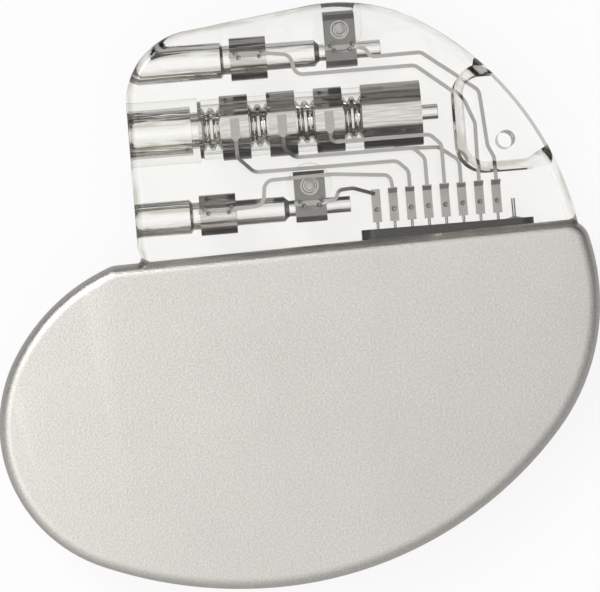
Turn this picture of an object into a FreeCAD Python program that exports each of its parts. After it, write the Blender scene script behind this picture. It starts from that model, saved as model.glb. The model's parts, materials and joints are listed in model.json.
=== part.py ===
import FreeCAD, Part
import math
import os
from FreeCAD import Vector

# Cardiac pacemaker with a clear three-port header, lying on its back face.
# X runs along the lead ports, Y from the can up to the header, Z out of the front face.
# All sizes are in millimetres and all angles in degrees.

# Contact ring of the four-pole port and the flat conductor welded to it
CONTACT_WIDTH = 2.86
CONTACT_RADIUS = 3.3
CONTACT_FLAT_WIDTH = 1.85
FLAT_REACH = math.sqrt(CONTACT_RADIUS ** 2 - (CONTACT_FLAT_WIDTH / 2) ** 2)
RIBBON_WIDTH = 0.38
RIBBON_THICKNESS = 0.22
RIBBON_BEND = 1.0

# Whole device, as thick as a contact ring with its conductor and their clear cover
HEADER_COVER = 0.212
THICKNESS = 2 * (FLAT_REACH + RIBBON_THICKNESS + HEADER_COVER)
MID = THICKNESS / 2
BEYOND = 20.0

# Can outline, as tangent arcs that leave the lowest point to the right and to the left
FOOT_X = -4.33
FOOT_Y = -29.45
RIGHT_BELLY_RADIUS = 39.9
RIGHT_BELLY_SWEEP = 49.0
RIGHT_SIDE_RADIUS = 21.5
RIGHT_SIDE_SWEEP = 66.0
LEFT_BELLY_RADIUS = 44.2
LEFT_BELLY_SWEEP = 23.0
LEFT_HEEL_RADIUS = 15.5
LEFT_HEEL_SWEEP = 26.0
LEFT_NOSE_RADIUS = 15.1
LEFT_NOSE_SWEEP = 72.9
LEFT_SHOULDER_RADIUS = 20.3
LEFT_SHOULDER_SWEEP = 58.0
CAN_TOP_Y = 4.86
CAN_TOP_TILT = 1.2
CAN_CORNER_RADIUS = 2.4

# Drawn titanium shells
SHELL_WALL = 0.35
SHOULDER_RADIUS = 1.4
WELD_BAND_WALL = 0.2
WELD_BAND_HEIGHT = 2.0

# Port axes
LOWER_PORT_RISE = 4.0
LOWER_PORT_PITCH = 8.71
UPPER_PORT_PITCH = 6.78
LOWER_PORT_Y = CAN_TOP_Y + LOWER_PORT_RISE
MIDDLE_PORT_Y = LOWER_PORT_Y + LOWER_PORT_PITCH
UPPER_PORT_Y = MIDDLE_PORT_Y + UPPER_PORT_PITCH
UPPER_PORT_SHIFT = 4.3

# Header outline, as tangent arcs from the head of the port wall both ways round to the can
PORT_WALL_X = -15.44
PORT_WALL_HEAD_DROP = 4.02
HEADER_CORNER_RADIUS = 7.45
HEADER_CORNER_SWEEP = 82.7
HEADER_TOP_LENGTH = 12.7
HEADER_CREST_RADIUS = 17.2
HEADER_CREST_SWEEP = 39.3
HEADER_FLANK_RADIUS = 31.5
HEADER_FLANK_SWEEP = 46.7
HEADER_FOOT_Y = CAN_TOP_Y - 1.24
PORT_WALL_FOOT_RISE = 1.34
PORT_STEP_RADIUS = 1.3
PORT_STEP_SWEEP = 30.0
PORT_FLARE_RADIUS = 0.8
PORT_FLARE_SWEEP = 110.0
HEADER_LAP = 0.6
HEADER_EDGE_RADIUS = 1.2
CROWN_START_DROP = 1.85
CROWN_RADIUS = 18.0

# Suture recess on both faces of the header
RECESS_X = 17.75
RECESS_FOOT_DROP = 6.57
RECESS_HEAD_RISE = 4.33
RECESS_RAMP_START = 6.9
RECESS_RAMP_RISE = 3.3
RECESS_REACH = 13.0
RECESS_COVER = 0.03
RECESS_CORNER_RADIUS = 3.0
RECESS_WALL_RUN = 1.0
SUTURE_INSET = 5.05
SUTURE_DROP = 3.42
SUTURE_RADIUS = 0.9

# Lead port for a 3.2 mm bipolar lead, from its mouth inwards
LEAD_IN_RADIUS = 1.75
LEAD_IN_LENGTH = 5.6
NECK_RADIUS = 1.4
NECK_TAPER = 0.3
NECK_LENGTH = 1.0
RING_BLOCK_LENGTH = 3.7
RING_BLOCK_RADIUS = 2.07
RING_BORE_RADIUS = 1.36
MID_BORE_RADIUS = 1.31
MID_BORE_LENGTH = 4.9
PIN_TAPER = 0.5
PIN_BORE_RADIUS = 0.83
PIN_BORE_LENGTH = 6.75
RING_SPRING_WIRE = 0.25
RING_SPRING_PROUD = 0.05

# Tip block that clamps the lead pin
TIP_BLOCK_SPACING = 1.13
TIP_BLOCK_WIDTH = 3.17
TIP_BLOCK_BELOW = 1.48
TIP_BLOCK_ABOVE = 3.64
TIP_BLOCK_DEPTH = 4.2
TIP_BLOCK_CHAMFER = 0.5
TIP_SLIT = 0.3
SCREW_OFFSET = 2.12
SCREW_RADIUS = 0.95
SCREW_SUNK = 0.1
SCREW_LENGTH = 3.4
HEX_FLATS = 0.9
HEX_DEPTH = 1.1

# Silicone septum over a set screw
SEPTUM_RADIUS = 2.3
SEPTUM_SUNK = 0.2
SEPTUM_LIP_RADIUS = 0.77
SEPTUM_LIP_BORE = 0.45
SEPTUM_LIP_HEIGHT = 0.12

# Four-pole lead port, a stack of seals and contact rings
SLEEVE_SUNK = 0.53
SLEEVE_LENGTH = 6.66
SLEEVE_RADIUS = 3.3
MIDDLE_LEAD_IN_RADIUS = 2.33
MIDDLE_LEAD_IN_LENGTH = 5.85
MIDDLE_NECK_RADIUS = 1.74
RETAINER_WIDTH = 0.31
RETAINER_RADIUS = 2.92
SEAL_WIDTH = 1.94
SEAL_RADIUS = 2.4
SEAL_BORE_RADIUS = 1.95
SEAL_LIP_RADIUS = 1.55
SEAL_LIP_WIDTH = 0.34
SPACER_RADIUS = 3.08
MIDDLE_BORE_RADIUS = 1.7
CONTACT_COUNT = 3
MIDDLE_SPRING_WIRE = 0.3
MIDDLE_SPRING_PROUD = 0.04
MIDDLE_TIP_LENGTH = 6.04
MIDDLE_TIP_COUNTERBORE = 1.2
MIDDLE_PIN_RADIUS = 0.78
MIDDLE_PIN_CLEARANCE_LENGTH = 1.7
MIDDLE_SCREW_INSET = 3.0
MIDDLE_SCREW_LENGTH = 1.4
MIDDLE_SEPTUM_RADIUS = 1.5
MIDDLE_SEPTUM_DEPTH = 1.2

# Straps and tabs at the ends of the conductors
STRAP_WIDTH = 0.5
STRAP_THICKNESS = 0.22
STRAP_OFFSET_Y = 0.36
STRAP_OVERHANG = 0.1
STRAP_LAP = 0.4
CONTACT_TAB_WIDTH = 0.95
CONTACT_TAB_ABOVE = 0.8
CONTACT_TAB_BELOW = 1.05
CONTACT_TAB_TAPER = 0.45
RIBBON_CLEARANCE = 0.15

# Routes of the conductors, as turns along X and Y from what each stretch follows
LANE_DROPS = (4.77, 3.59, 2.38)
LANE_TURNS = (1.6, 1.0, 0.0)
PIN_TURN = 1.1
LOW_DROP = 1.58
STEP_DROP = 0.68
STEP_SAG = 0.2
LOWER_TIP_TURNS = ((1.05, 0.54, 0.0), (1.3, 1.44, -0.1), (2.8, 1.54, -0.61))
LOWER_RING_TURNS = ((2.85, 0.49, 0.0), (3.1, 2.99, 0.0), (10.1, 3.09, 0.0))
LOWER_RING_DESCENT = ((-0.185, 2.54, 0.0),)
UPPER_RING_TURNS = ((2.4, 0.0, 0.0), (2.8, -2.05, 0.0))
UPPER_RING_DESCENT = ((-5.56, 4.73, 0.0), (-0.86, 0.93, 0.0), (0.1, -1.57, 0.0))
UPPER_TIP_TURNS = ((0.9, 0.05, 0.0), (1.3, -0.85, 0.0))
UPPER_TIP_DESCENT = ((-6.6, 5.98, 0.0), (-1.0, 1.73, 0.0), (-0.56, -3.97, 0.0), (0.0, -5.17, 0.0))
MIDDLE_TIP_DESCENT = ((-2.0, -3.67, 0.0), (0.0, -5.17, 0.0))

# Feedthrough between the can and the header
FLANGE_X = 7.4
FLANGE_LENGTH = 17.6
FLANGE_WIDTH = 2.6
FLANGE_RISE = 1.19
FLANGE_DEPTH = 1.0
FLANGE_TOP_Y = CAN_TOP_Y + FLANGE_RISE
FLANGE_FOOT_Y = CAN_TOP_Y - FLANGE_DEPTH
FLANGE_RIM = 0.3
BEAD_RADIUS = 0.6
PIN_COUNT = 8
FIRST_PIN_INSET = 1.73
LAST_PIN_INSET = 3.585
PIN_PITCH = (FLANGE_LENGTH - FIRST_PIN_INSET - LAST_PIN_INSET) / (PIN_COUNT - 1)
PIN_RADIUS = 0.14
PIN_TAB_LAP = 1.84
PIN_BOARD_LAP = 1.3
TAB_WIDTH = 0.92
TAB_FOOT_RISE = 0.71
TAB_FOOT_Y = FLANGE_TOP_Y + TAB_FOOT_RISE
TAB_LENGTH = 3.38
TAB_HEAD_Y = TAB_FOOT_Y + TAB_LENGTH
TAB_CAP_HEIGHT = 0.5
TAB_CAP_LAP = 0.08
TAB_THICKNESS = 0.25
GROUND_PIN_INSET = 1.94
GROUND_PIN_RADIUS = 0.19
GROUND_PIN_HEIGHT = 2.05
GROUND_CONE_RADIUS = 0.9
GROUND_CONE_HEIGHT = 0.22

# Moulded frame inside the can
FRAME_CLEARANCE = 0.1
FRAME_WALL = 0.5
FRAME_FACE_CLEARANCE = 0.25
FRAME_BAR_Y = -7.6
FRAME_BAR_WIDTH = 0.7
FRAME_WINDOW_DROP = 2.0
FRAME_WINDOW_MARGIN = 1.0
INNER_CLEARANCE = 0.3

# Battery below the frame's bar
BATTERY_BAR_GAP = 0.6
BATTERY_FACE_CLEARANCE = 0.35
BATTERY_EDGE_RADIUS = 0.6
LID_X = -20.0
LID_LENGTH = 36.0
LID_THICKNESS = 0.3
LID_INSET = 0.4
TERMINAL_X = 8.0
TERMINAL_RADIUS = 0.35
TERMINAL_BOARD_LAP = 1.8
TERMINAL_GLASS_RADIUS = 0.9
BATTERY_LEAD_X = -16.0
BATTERY_LEAD_WIDTH = 1.6
BATTERY_LEAD_BOARD_LAP = 2.3
BATTERY_LEAD_THICKNESS = 0.2

# Telemetry coil left of the board
COIL_CORE_X = -24.4
COIL_CORE_WIDTH = 2.8
COIL_CORE_LENGTH = 5.4
COIL_CORE_DEPTH = 3.4
COIL_BAR_GAP = 0.6
COIL_WINDING_WALL = 0.45
COIL_WINDING_MARGIN = 0.8

# Circuit board above the frame's bar
BOARD_THICKNESS = 0.8
BOARD_COIL_GAP = 0.75
BOARD_HEAD_DROP = 2.1

# Chips on the board's front: distance from its left and lower edges, length, height, thickness
CHIPS = {
    "main_chip": (11.9, 1.7, 7.4, 7.4, 1.1),
    "memory_chip": (22.0, 2.3, 4.6, 6.0, 0.9),
    "telemetry_chip": (4.9, 5.7, 4.2, 3.2, 0.9),
    "accelerometer": (31.9, 1.9, 3.4, 3.4, 1.3),
    "magnet_sensor": (38.0, 2.3, 2.2, 3.0, 0.8),
}

# Quartz crystal and the capacitors on the board's back, placed as the chips are
CRYSTAL_RADIUS = 0.75
CRYSTAL_LENGTH = 5.0
CRYSTAL_PLACE = (1.8, 3.9)
CAPACITOR_COUNT = 6
CAPACITOR_PITCH = 5.4
CAPACITOR_PLACE = (6.4, 2.1)
CAPACITOR_LENGTH = 3.2
CAPACITOR_HEIGHT = 4.6
CAPACITOR_DEPTH = 1.6


class Outline:
    """A chain of straight runs and tangent arcs in the plane of the device."""

    def __init__(self, x, y, heading):
        self.place = Vector(x, y, 0)
        self.heading = math.radians(heading)
        self.edges = []

    def straight(self, length):
        step = Vector(math.cos(self.heading), math.sin(self.heading), 0)
        self.line_to(self.place + step * length)

    def line_to(self, place):
        self.edges.append(Part.LineSegment(self.place, place).toShape())
        self.place = place

    def arc(self, radius, sweep):
        side = math.copysign(1, sweep)
        turn = math.radians(sweep)
        to_centre = Vector(-math.sin(self.heading), math.cos(self.heading), 0) * (side * radius)
        centre = self.place + to_centre
        middle = centre - turned(to_centre, turn / 2)
        end = centre - turned(to_centre, turn)
        self.edges.append(Part.Arc(self.place, middle, end).toShape())
        self.place = end
        self.heading += turn


def turned(vector, angle):
    """Turn a vector about Z by an angle in radians."""
    cosine = math.cos(angle)
    sine = math.sin(angle)
    return Vector(vector.x * cosine - vector.y * sine, vector.x * sine + vector.y * cosine, 0)


def block(x, y, z, length, height, depth):
    """A box from its lowest corner."""
    return Part.makeBox(length, height, depth, Vector(x, y, z))


def slab(face, low, high):
    """A flat face in the XY plane, raised from one height to another."""
    return face.translated(Vector(0, 0, low)).extrude(Vector(0, 0, high - low))


def turned_part(stations, axis_y):
    """Revolve stations of (x, radius) about a port axis that runs along X."""
    first = stations[0][0]
    last = stations[-1][0]
    corners = [Vector(first, axis_y, MID)]
    corners += [Vector(x, axis_y + radius, MID) for x, radius in stations]
    corners += [Vector(last, axis_y, MID), Vector(first, axis_y, MID)]
    face = Part.Face(Part.makePolygon(corners))
    return face.revolve(Vector(0, axis_y, MID), Vector(1, 0, 0), 360)


def disc(x, length, radius, axis_y):
    """A plain cylinder along X on a port axis."""
    return Part.makeCylinder(radius, length, Vector(x, axis_y, MID), Vector(1, 0, 0))


def spring_ring(x, wire, inner_radius, axis_y):
    """A canted coil spring, as the closed ring that its turns fill."""
    return Part.makeTorus(inner_radius + wire, wire, Vector(x, axis_y, MID), Vector(1, 0, 0))


def hexagon(flats, centre, low, high):
    """A hexagonal bar along Z."""
    reach = flats / math.sqrt(3)
    corners = []
    for step in range(7):
        angle = math.radians(60 * step)
        corners.append(centre + Vector(reach * math.cos(angle), reach * math.sin(angle), 0))
    return slab(Part.Face(Part.makePolygon(corners)), low, high)


def rounded_path(points, bend):
    """Straight runs through the points, joined by tangent arcs."""
    edges = []
    start = points[0]
    for before, corner, after in zip(points, points[1:], points[2:]):
        back = before - corner
        ahead = after - corner
        half_turn = (math.pi - back.getAngle(ahead)) / 2
        if half_turn < 0.01:
            continue
        reach = min(bend * math.tan(half_turn), 0.45 * min(back.Length, ahead.Length))
        entry = corner + back.normalize() * reach
        leave = corner + ahead.normalize() * reach
        inward = (back + ahead).normalize()
        crown = corner + inward * bulge(reach, half_turn)
        if start.distanceToPoint(entry) > 1e-6:
            edges.append(Part.LineSegment(start, entry).toShape())
        edges.append(Part.Arc(entry, crown, leave).toShape())
        start = leave
    edges.append(Part.LineSegment(start, points[-1]).toShape())
    return Part.Wire(edges)


def bulge(reach, half_turn):
    """Distance from a corner to the nearest point of its tangent arc."""
    radius = reach / math.tan(half_turn)
    return radius / math.cos(half_turn) - radius


def ribbon(points, width):
    """A flat conductor whose centre line follows the points."""
    places = [Vector(*point) for point in points]
    path = rounded_path(places, RIBBON_BEND)
    ahead = (places[1] - places[0]).normalize()
    across = ahead.cross(Vector(0, 0, 1)).normalize()
    upward = across.cross(ahead).normalize()
    side = across * (width / 2)
    rise = upward * (RIBBON_THICKNESS / 2)
    start = places[0]
    corners = [start - side - rise, start + side - rise, start + side + rise, start - side + rise]
    profile = Part.makePolygon(corners + corners[:1])
    sweep = Part.BRepOffsetAPI.MakePipeShell(path)
    sweep.setBiNormalMode(Vector(0, 0, 1))
    sweep.add(profile)
    sweep.build()
    sweep.makeSolid()
    return sweep.shape()


def join(shapes):
    """Fuse shapes and merge the faces that run on."""
    return shapes[0].fuse(shapes[1:]).removeSplitter()


def tilted_line_y(x):
    """Height of the can's top edge at a place along X."""
    return CAN_TOP_Y + x * math.tan(math.radians(CAN_TOP_TILT))


def below_can_top(drop):
    """The region under a line that lies a given drop below the can's top edge."""
    reach = 2 * BEYOND
    corners = [
        Vector(-reach, tilted_line_y(-reach) - drop, 0),
        Vector(-reach, -reach, 0),
        Vector(reach, -reach, 0),
        Vector(reach, tilted_line_y(reach) - drop, 0),
    ]
    return Part.Face(Part.makePolygon(corners + corners[:1]))


# Can outline
def can_face():
    foot = Vector(FOOT_X, FOOT_Y, 0)
    right = Outline(FOOT_X, FOOT_Y, 0)
    right.arc(RIGHT_BELLY_RADIUS, RIGHT_BELLY_SWEEP)
    right.arc(RIGHT_SIDE_RADIUS, RIGHT_SIDE_SWEEP)
    left = Outline(FOOT_X, FOOT_Y, 180)
    left.arc(LEFT_BELLY_RADIUS, -LEFT_BELLY_SWEEP)
    left.arc(LEFT_HEEL_RADIUS, -LEFT_HEEL_SWEEP)
    left.arc(LEFT_NOSE_RADIUS, -LEFT_NOSE_SWEEP)
    left.arc(LEFT_SHOULDER_RADIUS, -LEFT_SHOULDER_SWEEP)
    ceiling = Vector(0, CAN_TOP_Y + BEYOND, 0)
    bridge = [right.place, ceiling, left.place]
    edges = right.edges + left.edges
    for start, end in zip(bridge, bridge[1:]):
        edges.append(Part.LineSegment(start, end).toShape())
    loop = Part.Wire(Part.__sortEdges__(edges))
    egg = Part.Face(loop)
    cut_off = egg.common(below_can_top(0)).Faces[0]
    return cut_off.makeOffset2D(-CAN_CORNER_RADIUS).makeOffset2D(CAN_CORNER_RADIUS)


def rounded_can(face, inset, radius):
    """The can's body at an inset from its outer skin, with rounded shoulders."""
    outline = face.makeOffset2D(-inset) if inset else face
    body = slab(outline, inset, THICKNESS - inset)
    rims = [edge for edge in body.Edges if abs(edge.BoundBox.ZLength) < 1e-6]
    return body.makeFillet(radius, rims)


CAN_FACE = can_face()
CAN_BODY = rounded_can(CAN_FACE, 0, SHOULDER_RADIUS)
CAN_HOLLOW = rounded_can(CAN_FACE, SHELL_WALL, SHOULDER_RADIUS - SHELL_WALL)


def inner_face(inset):
    """The can's outline, drawn in by an inset."""
    return CAN_FACE.makeOffset2D(-inset)


def band(outer_inset, wall, low, high):
    """A wall that follows the can's outline."""
    return slab(inner_face(outer_inset), low, high).cut(slab(inner_face(outer_inset + wall), low, high))


# Feedthrough
def stadium(inset, low_y, high_y):
    """A round-ended bar through the can's top, along Y."""
    radius = FLANGE_WIDTH / 2 - inset
    left = Vector(FLANGE_X + FLANGE_WIDTH / 2, low_y, MID)
    straight = FLANGE_LENGTH - FLANGE_WIDTH
    height = high_y - low_y
    bar = block(left.x, low_y, MID - radius, straight, height, 2 * radius)
    ends = [
        Part.makeCylinder(radius, height, left, Vector(0, 1, 0)),
        Part.makeCylinder(radius, height, left + Vector(straight, 0, 0), Vector(0, 1, 0)),
    ]
    return join([bar] + ends)


def pin_places():
    return [FLANGE_X + FIRST_PIN_INSET + PIN_PITCH * index for index in range(PIN_COUNT)]


def upright(x, low_y, high_y, radius):
    """A round bar along Y in the middle plane."""
    return Part.makeCylinder(radius, high_y - low_y, Vector(x, low_y, MID), Vector(0, 1, 0))


FLANGE_BODY = stadium(FLANGE_RIM, FLANGE_FOOT_Y, FLANGE_TOP_Y)
FLANGE_PLATE = stadium(0, FLANGE_FOOT_Y, FLANGE_TOP_Y).cut(CAN_BODY)
BOARD_HEAD_Y = CAN_TOP_Y - BOARD_HEAD_DROP
PIN_FOOT_Y = BOARD_HEAD_Y - PIN_BOARD_LAP
PIN_TOP_Y = TAB_FOOT_Y + PIN_TAB_LAP


def feedthrough_flange():
    flange = FLANGE_BODY.fuse(FLANGE_PLATE)
    for x in pin_places():
        flange = flange.cut(upright(x, FLANGE_FOOT_Y, FLANGE_TOP_Y, BEAD_RADIUS))
    return flange.removeSplitter()


def feedthrough_beads():
    beads = []
    for x in pin_places():
        bead = upright(x, FLANGE_FOOT_Y, FLANGE_TOP_Y, BEAD_RADIUS)
        beads.append(bead.cut(upright(x, FLANGE_FOOT_Y, FLANGE_TOP_Y, PIN_RADIUS)))
    return Part.makeCompound(beads)


def feedthrough_pins():
    return Part.makeCompound([upright(x, PIN_FOOT_Y, PIN_TOP_Y, PIN_RADIUS) for x in pin_places()])


def ground_pin():
    x = FLANGE_X + FLANGE_LENGTH - GROUND_PIN_INSET
    foot = Vector(x, FLANGE_TOP_Y, MID)
    cone = Part.makeCone(GROUND_CONE_RADIUS, GROUND_PIN_RADIUS, GROUND_CONE_HEIGHT, foot, Vector(0, 1, 0))
    post = upright(x, FLANGE_TOP_Y, FLANGE_TOP_Y + GROUND_PIN_HEIGHT, GROUND_PIN_RADIUS)
    return join([cone, post])


# Can shells and the band behind their weld
def shell(low, high):
    skin = CAN_BODY.cut(CAN_HOLLOW).cut(FLANGE_BODY)
    half = slab(below_can_top(-BEYOND / 2), low, high)
    return skin.common(half)


def weld_band():
    low = MID - WELD_BAND_HEIGHT / 2
    high = MID + WELD_BAND_HEIGHT / 2
    strip = band(SHELL_WALL, WELD_BAND_WALL, low, high)
    return strip.cut(stadium(0, FLANGE_FOOT_Y - FLANGE_RIM, FLANGE_TOP_Y))


# Header body
def header_outline():
    head_y = UPPER_PORT_Y - PORT_WALL_HEAD_DROP
    over = Outline(PORT_WALL_X, head_y, 90)
    over.arc(HEADER_CORNER_RADIUS, -HEADER_CORNER_SWEEP)
    over.straight(HEADER_TOP_LENGTH)
    over.arc(HEADER_CREST_RADIUS, -HEADER_CREST_SWEEP)
    over.arc(HEADER_FLANK_RADIUS, -HEADER_FLANK_SWEEP)
    over.straight((HEADER_FOOT_Y - over.place.y) / math.sin(over.heading))
    down = Outline(PORT_WALL_X, head_y, 270)
    down.straight(head_y - CAN_TOP_Y - PORT_WALL_FOOT_RISE)
    down.arc(PORT_STEP_RADIUS, PORT_STEP_SWEEP)
    down.arc(PORT_FLARE_RADIUS, -PORT_FLARE_SWEEP)
    down.line_to(Vector(down.place.x, HEADER_FOOT_Y - HEADER_LAP, 0))
    down.line_to(over.place)
    return Part.Face(Part.Wire(Part.__sortEdges__(over.edges + down.edges)))


HEADER_FACE = header_outline()
CROWN_START_Y = UPPER_PORT_Y - CROWN_START_DROP
LEAD_IN_END_X = PORT_WALL_X + LEAD_IN_LENGTH
RING_BLOCK_X = LEAD_IN_END_X + NECK_LENGTH
MID_BORE_END_X = RING_BLOCK_X + RING_BLOCK_LENGTH + MID_BORE_LENGTH
PIN_BORE_END_X = MID_BORE_END_X + PIN_BORE_LENGTH
TIP_BLOCK_X = MID_BORE_END_X + TIP_BLOCK_SPACING
SLEEVE_X = PORT_WALL_X + SLEEVE_SUNK
RETAINER_X = SLEEVE_X + SLEEVE_LENGTH
MIDDLE_LEAD_IN_END_X = SLEEVE_X + MIDDLE_LEAD_IN_LENGTH


def crowned_bar():
    """A bar along X whose front and back faces curve in towards the header's top."""
    reach = 2 * BEYOND
    climb = HEADER_FACE.BoundBox.YMax + 1 - CROWN_START_Y
    angle = math.asin(climb / CROWN_RADIUS)
    drop = CROWN_RADIUS * (1 - math.cos(angle))
    half_drop = CROWN_RADIUS * (1 - math.cos(angle / 2))
    half_climb = CROWN_RADIUS * math.sin(angle / 2)
    head_y = CROWN_START_Y + climb
    back_foot = Vector(-reach, 0, 0)
    back_bend = Vector(-reach, CROWN_START_Y, 0)
    back_crown = Vector(-reach, CROWN_START_Y + half_climb, half_drop)
    back_head = Vector(-reach, head_y, drop)
    front_head = Vector(-reach, head_y, THICKNESS - drop)
    front_crown = Vector(-reach, CROWN_START_Y + half_climb, THICKNESS - half_drop)
    front_bend = Vector(-reach, CROWN_START_Y, THICKNESS)
    front_foot = Vector(-reach, 0, THICKNESS)
    edges = [
        Part.LineSegment(back_foot, back_bend).toShape(),
        Part.Arc(back_bend, back_crown, back_head).toShape(),
        Part.LineSegment(back_head, front_head).toShape(),
        Part.Arc(front_head, front_crown, front_bend).toShape(),
        Part.LineSegment(front_bend, front_foot).toShape(),
        Part.LineSegment(front_foot, back_foot).toShape(),
    ]
    return Part.Face(Part.Wire(edges)).extrude(Vector(2 * reach, 0, 0))


def header_blank():
    raw = slab(HEADER_FACE, 0, THICKNESS).common(crowned_bar())
    rim = HEADER_FACE.OuterWire
    edges = []
    for edge in raw.Edges:
        middle = edge.valueAt((edge.FirstParameter + edge.LastParameter) / 2)
        flat = Part.Vertex(middle.x, middle.y, 0)
        on_rim = flat.distToShape(rim)[0] < 1e-4
        level = edge.BoundBox.ZLength < THICKNESS / 2
        if on_rim and level and middle.y > CAN_TOP_Y:
            edges.append(edge)
    return raw.makeFillet(HEADER_EDGE_RADIUS, edges)


TIP_FRONT_Z = MID + TIP_BLOCK_DEPTH / 2
FRONT_LEVEL = TIP_FRONT_Z + RIBBON_CLEARANCE + RIBBON_THICKNESS / 2
RECESS_FLOOR_Z = FRONT_LEVEL + RIBBON_THICKNESS / 2 + RECESS_COVER
RECESS_DEPTH = THICKNESS - RECESS_FLOOR_Z


def recess_section(inset, z):
    """Outline of the suture recess at one depth of its sloped walls."""
    left = RECESS_X + inset
    foot_y = MIDDLE_PORT_Y - RECESS_FOOT_DROP + inset
    head_y = MIDDLE_PORT_Y + RECESS_HEAD_RISE - inset
    radius = RECESS_CORNER_RADIUS - inset
    far_x = RECESS_X + RECESS_REACH
    ramp_rise = RECESS_RAMP_RISE * inset / RECESS_WALL_RUN
    chain = Outline(left + radius, foot_y, 0)
    chain.straight(RECESS_X + RECESS_RAMP_START - chain.place.x)
    chain.line_to(Vector(far_x, foot_y + ramp_rise, 0))
    chain.line_to(Vector(far_x, head_y, 0))
    chain.line_to(Vector(left + radius, head_y, 0))
    chain.heading = math.pi
    chain.arc(radius, 90)
    chain.straight(head_y - foot_y - 2 * radius)
    chain.arc(radius, 90)
    return Part.Wire(chain.edges).translated(Vector(0, 0, z))


def recess_tools(floor_z, face_z):
    """The recess from its floor to a face of the header, and the space outside that face."""
    rim = recess_section(0, face_z)
    walls = Part.makeLoft([recess_section(RECESS_WALL_RUN, floor_z), rim], True, True)
    outside = Part.Face(rim).extrude(Vector(0, 0, face_z - floor_z))
    return [walls, outside]


# Bipolar lead ports
def port_bore(shift, axis_y):
    """The open bore of a bipolar port, from outside the wall to the pin's end."""
    block_end = RING_BLOCK_X + RING_BLOCK_LENGTH
    stations = [
        (PORT_WALL_X - BEYOND, LEAD_IN_RADIUS),
        (LEAD_IN_END_X + shift, LEAD_IN_RADIUS),
        (LEAD_IN_END_X + NECK_TAPER + shift, NECK_RADIUS),
        (RING_BLOCK_X + shift, NECK_RADIUS),
        (RING_BLOCK_X + shift, RING_BORE_RADIUS),
        (block_end + shift, RING_BORE_RADIUS),
        (block_end + shift, MID_BORE_RADIUS),
        (MID_BORE_END_X + shift, MID_BORE_RADIUS),
        (MID_BORE_END_X + PIN_TAPER + shift, PIN_BORE_RADIUS),
        (PIN_BORE_END_X + shift, PIN_BORE_RADIUS),
    ]
    return turned_part(stations, axis_y)


def ring_block(shift, axis_y):
    x = RING_BLOCK_X + shift
    middle = x + RING_BLOCK_LENGTH / 2
    groove_radius = RING_BORE_RADIUS - RING_SPRING_PROUD + 2 * RING_SPRING_WIRE
    body = disc(x, RING_BLOCK_LENGTH, RING_BLOCK_RADIUS, axis_y)
    bore = disc(x, RING_BLOCK_LENGTH, RING_BORE_RADIUS, axis_y)
    groove = disc(middle - RING_SPRING_WIRE, 2 * RING_SPRING_WIRE, groove_radius, axis_y)
    return body.cut(bore).cut(groove)


def ring_spring(shift, axis_y):
    middle = RING_BLOCK_X + shift + RING_BLOCK_LENGTH / 2
    return spring_ring(middle, RING_SPRING_WIRE, RING_BORE_RADIUS - RING_SPRING_PROUD, axis_y)


SEPTUM_TOP_Z = THICKNESS - SEPTUM_SUNK


def tip_envelope(shift, axis_y):
    """The clamp block before its bores, with both front edges chamfered."""
    foot = axis_y - TIP_BLOCK_BELOW
    head = axis_y + TIP_BLOCK_ABOVE
    back = MID - TIP_BLOCK_DEPTH / 2
    x = TIP_BLOCK_X + shift
    corners = [
        Vector(x, foot, back),
        Vector(x, head, back),
        Vector(x, head, TIP_FRONT_Z - TIP_BLOCK_CHAMFER),
        Vector(x, head - TIP_BLOCK_CHAMFER, TIP_FRONT_Z),
        Vector(x, foot + TIP_BLOCK_CHAMFER, TIP_FRONT_Z),
        Vector(x, foot, TIP_FRONT_Z - TIP_BLOCK_CHAMFER),
    ]
    return Part.Face(Part.makePolygon(corners + corners[:1])).extrude(Vector(TIP_BLOCK_WIDTH, 0, 0))


def screw_centre(shift, axis_y):
    return Vector(TIP_BLOCK_X + TIP_BLOCK_WIDTH / 2 + shift, axis_y + SCREW_OFFSET, 0)


def screw_bore(shift, axis_y):
    floor = TIP_FRONT_Z - SCREW_SUNK - SCREW_LENGTH
    centre = screw_centre(shift, axis_y) + Vector(0, 0, floor)
    return Part.makeCylinder(SCREW_RADIUS, SCREW_LENGTH + SCREW_SUNK, centre)


def tip_block(shift, axis_y):
    x = TIP_BLOCK_X + shift
    slit = block(x, axis_y, MID - TIP_SLIT / 2, TIP_BLOCK_WIDTH, TIP_BLOCK_ABOVE, TIP_SLIT)
    body = tip_envelope(shift, axis_y).cut(screw_bore(shift, axis_y))
    return body.cut(disc(x, TIP_BLOCK_WIDTH, PIN_BORE_RADIUS, axis_y)).cut(slit)


def set_screw(shift, axis_y):
    centre = screw_centre(shift, axis_y)
    top = TIP_FRONT_Z - SCREW_SUNK
    bar = Part.makeCylinder(SCREW_RADIUS, SCREW_LENGTH, centre + Vector(0, 0, top - SCREW_LENGTH))
    return bar.cut(hexagon(HEX_FLATS, centre, top - HEX_DEPTH, top))


def septum_form(shift, axis_y, low, high):
    """A septum's round form, which runs on to the header's top edge where that is near."""
    centre = screw_centre(shift, axis_y)
    form = Part.makeCylinder(SEPTUM_RADIUS, high - low, centre + Vector(0, 0, low))
    if HEADER_FACE.BoundBox.YMax - centre.y > 2 * SEPTUM_RADIUS:
        return form
    left = centre.x - SEPTUM_RADIUS
    return join([form, block(left, centre.y, low, 2 * SEPTUM_RADIUS, BEYOND, high - low)])


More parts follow.
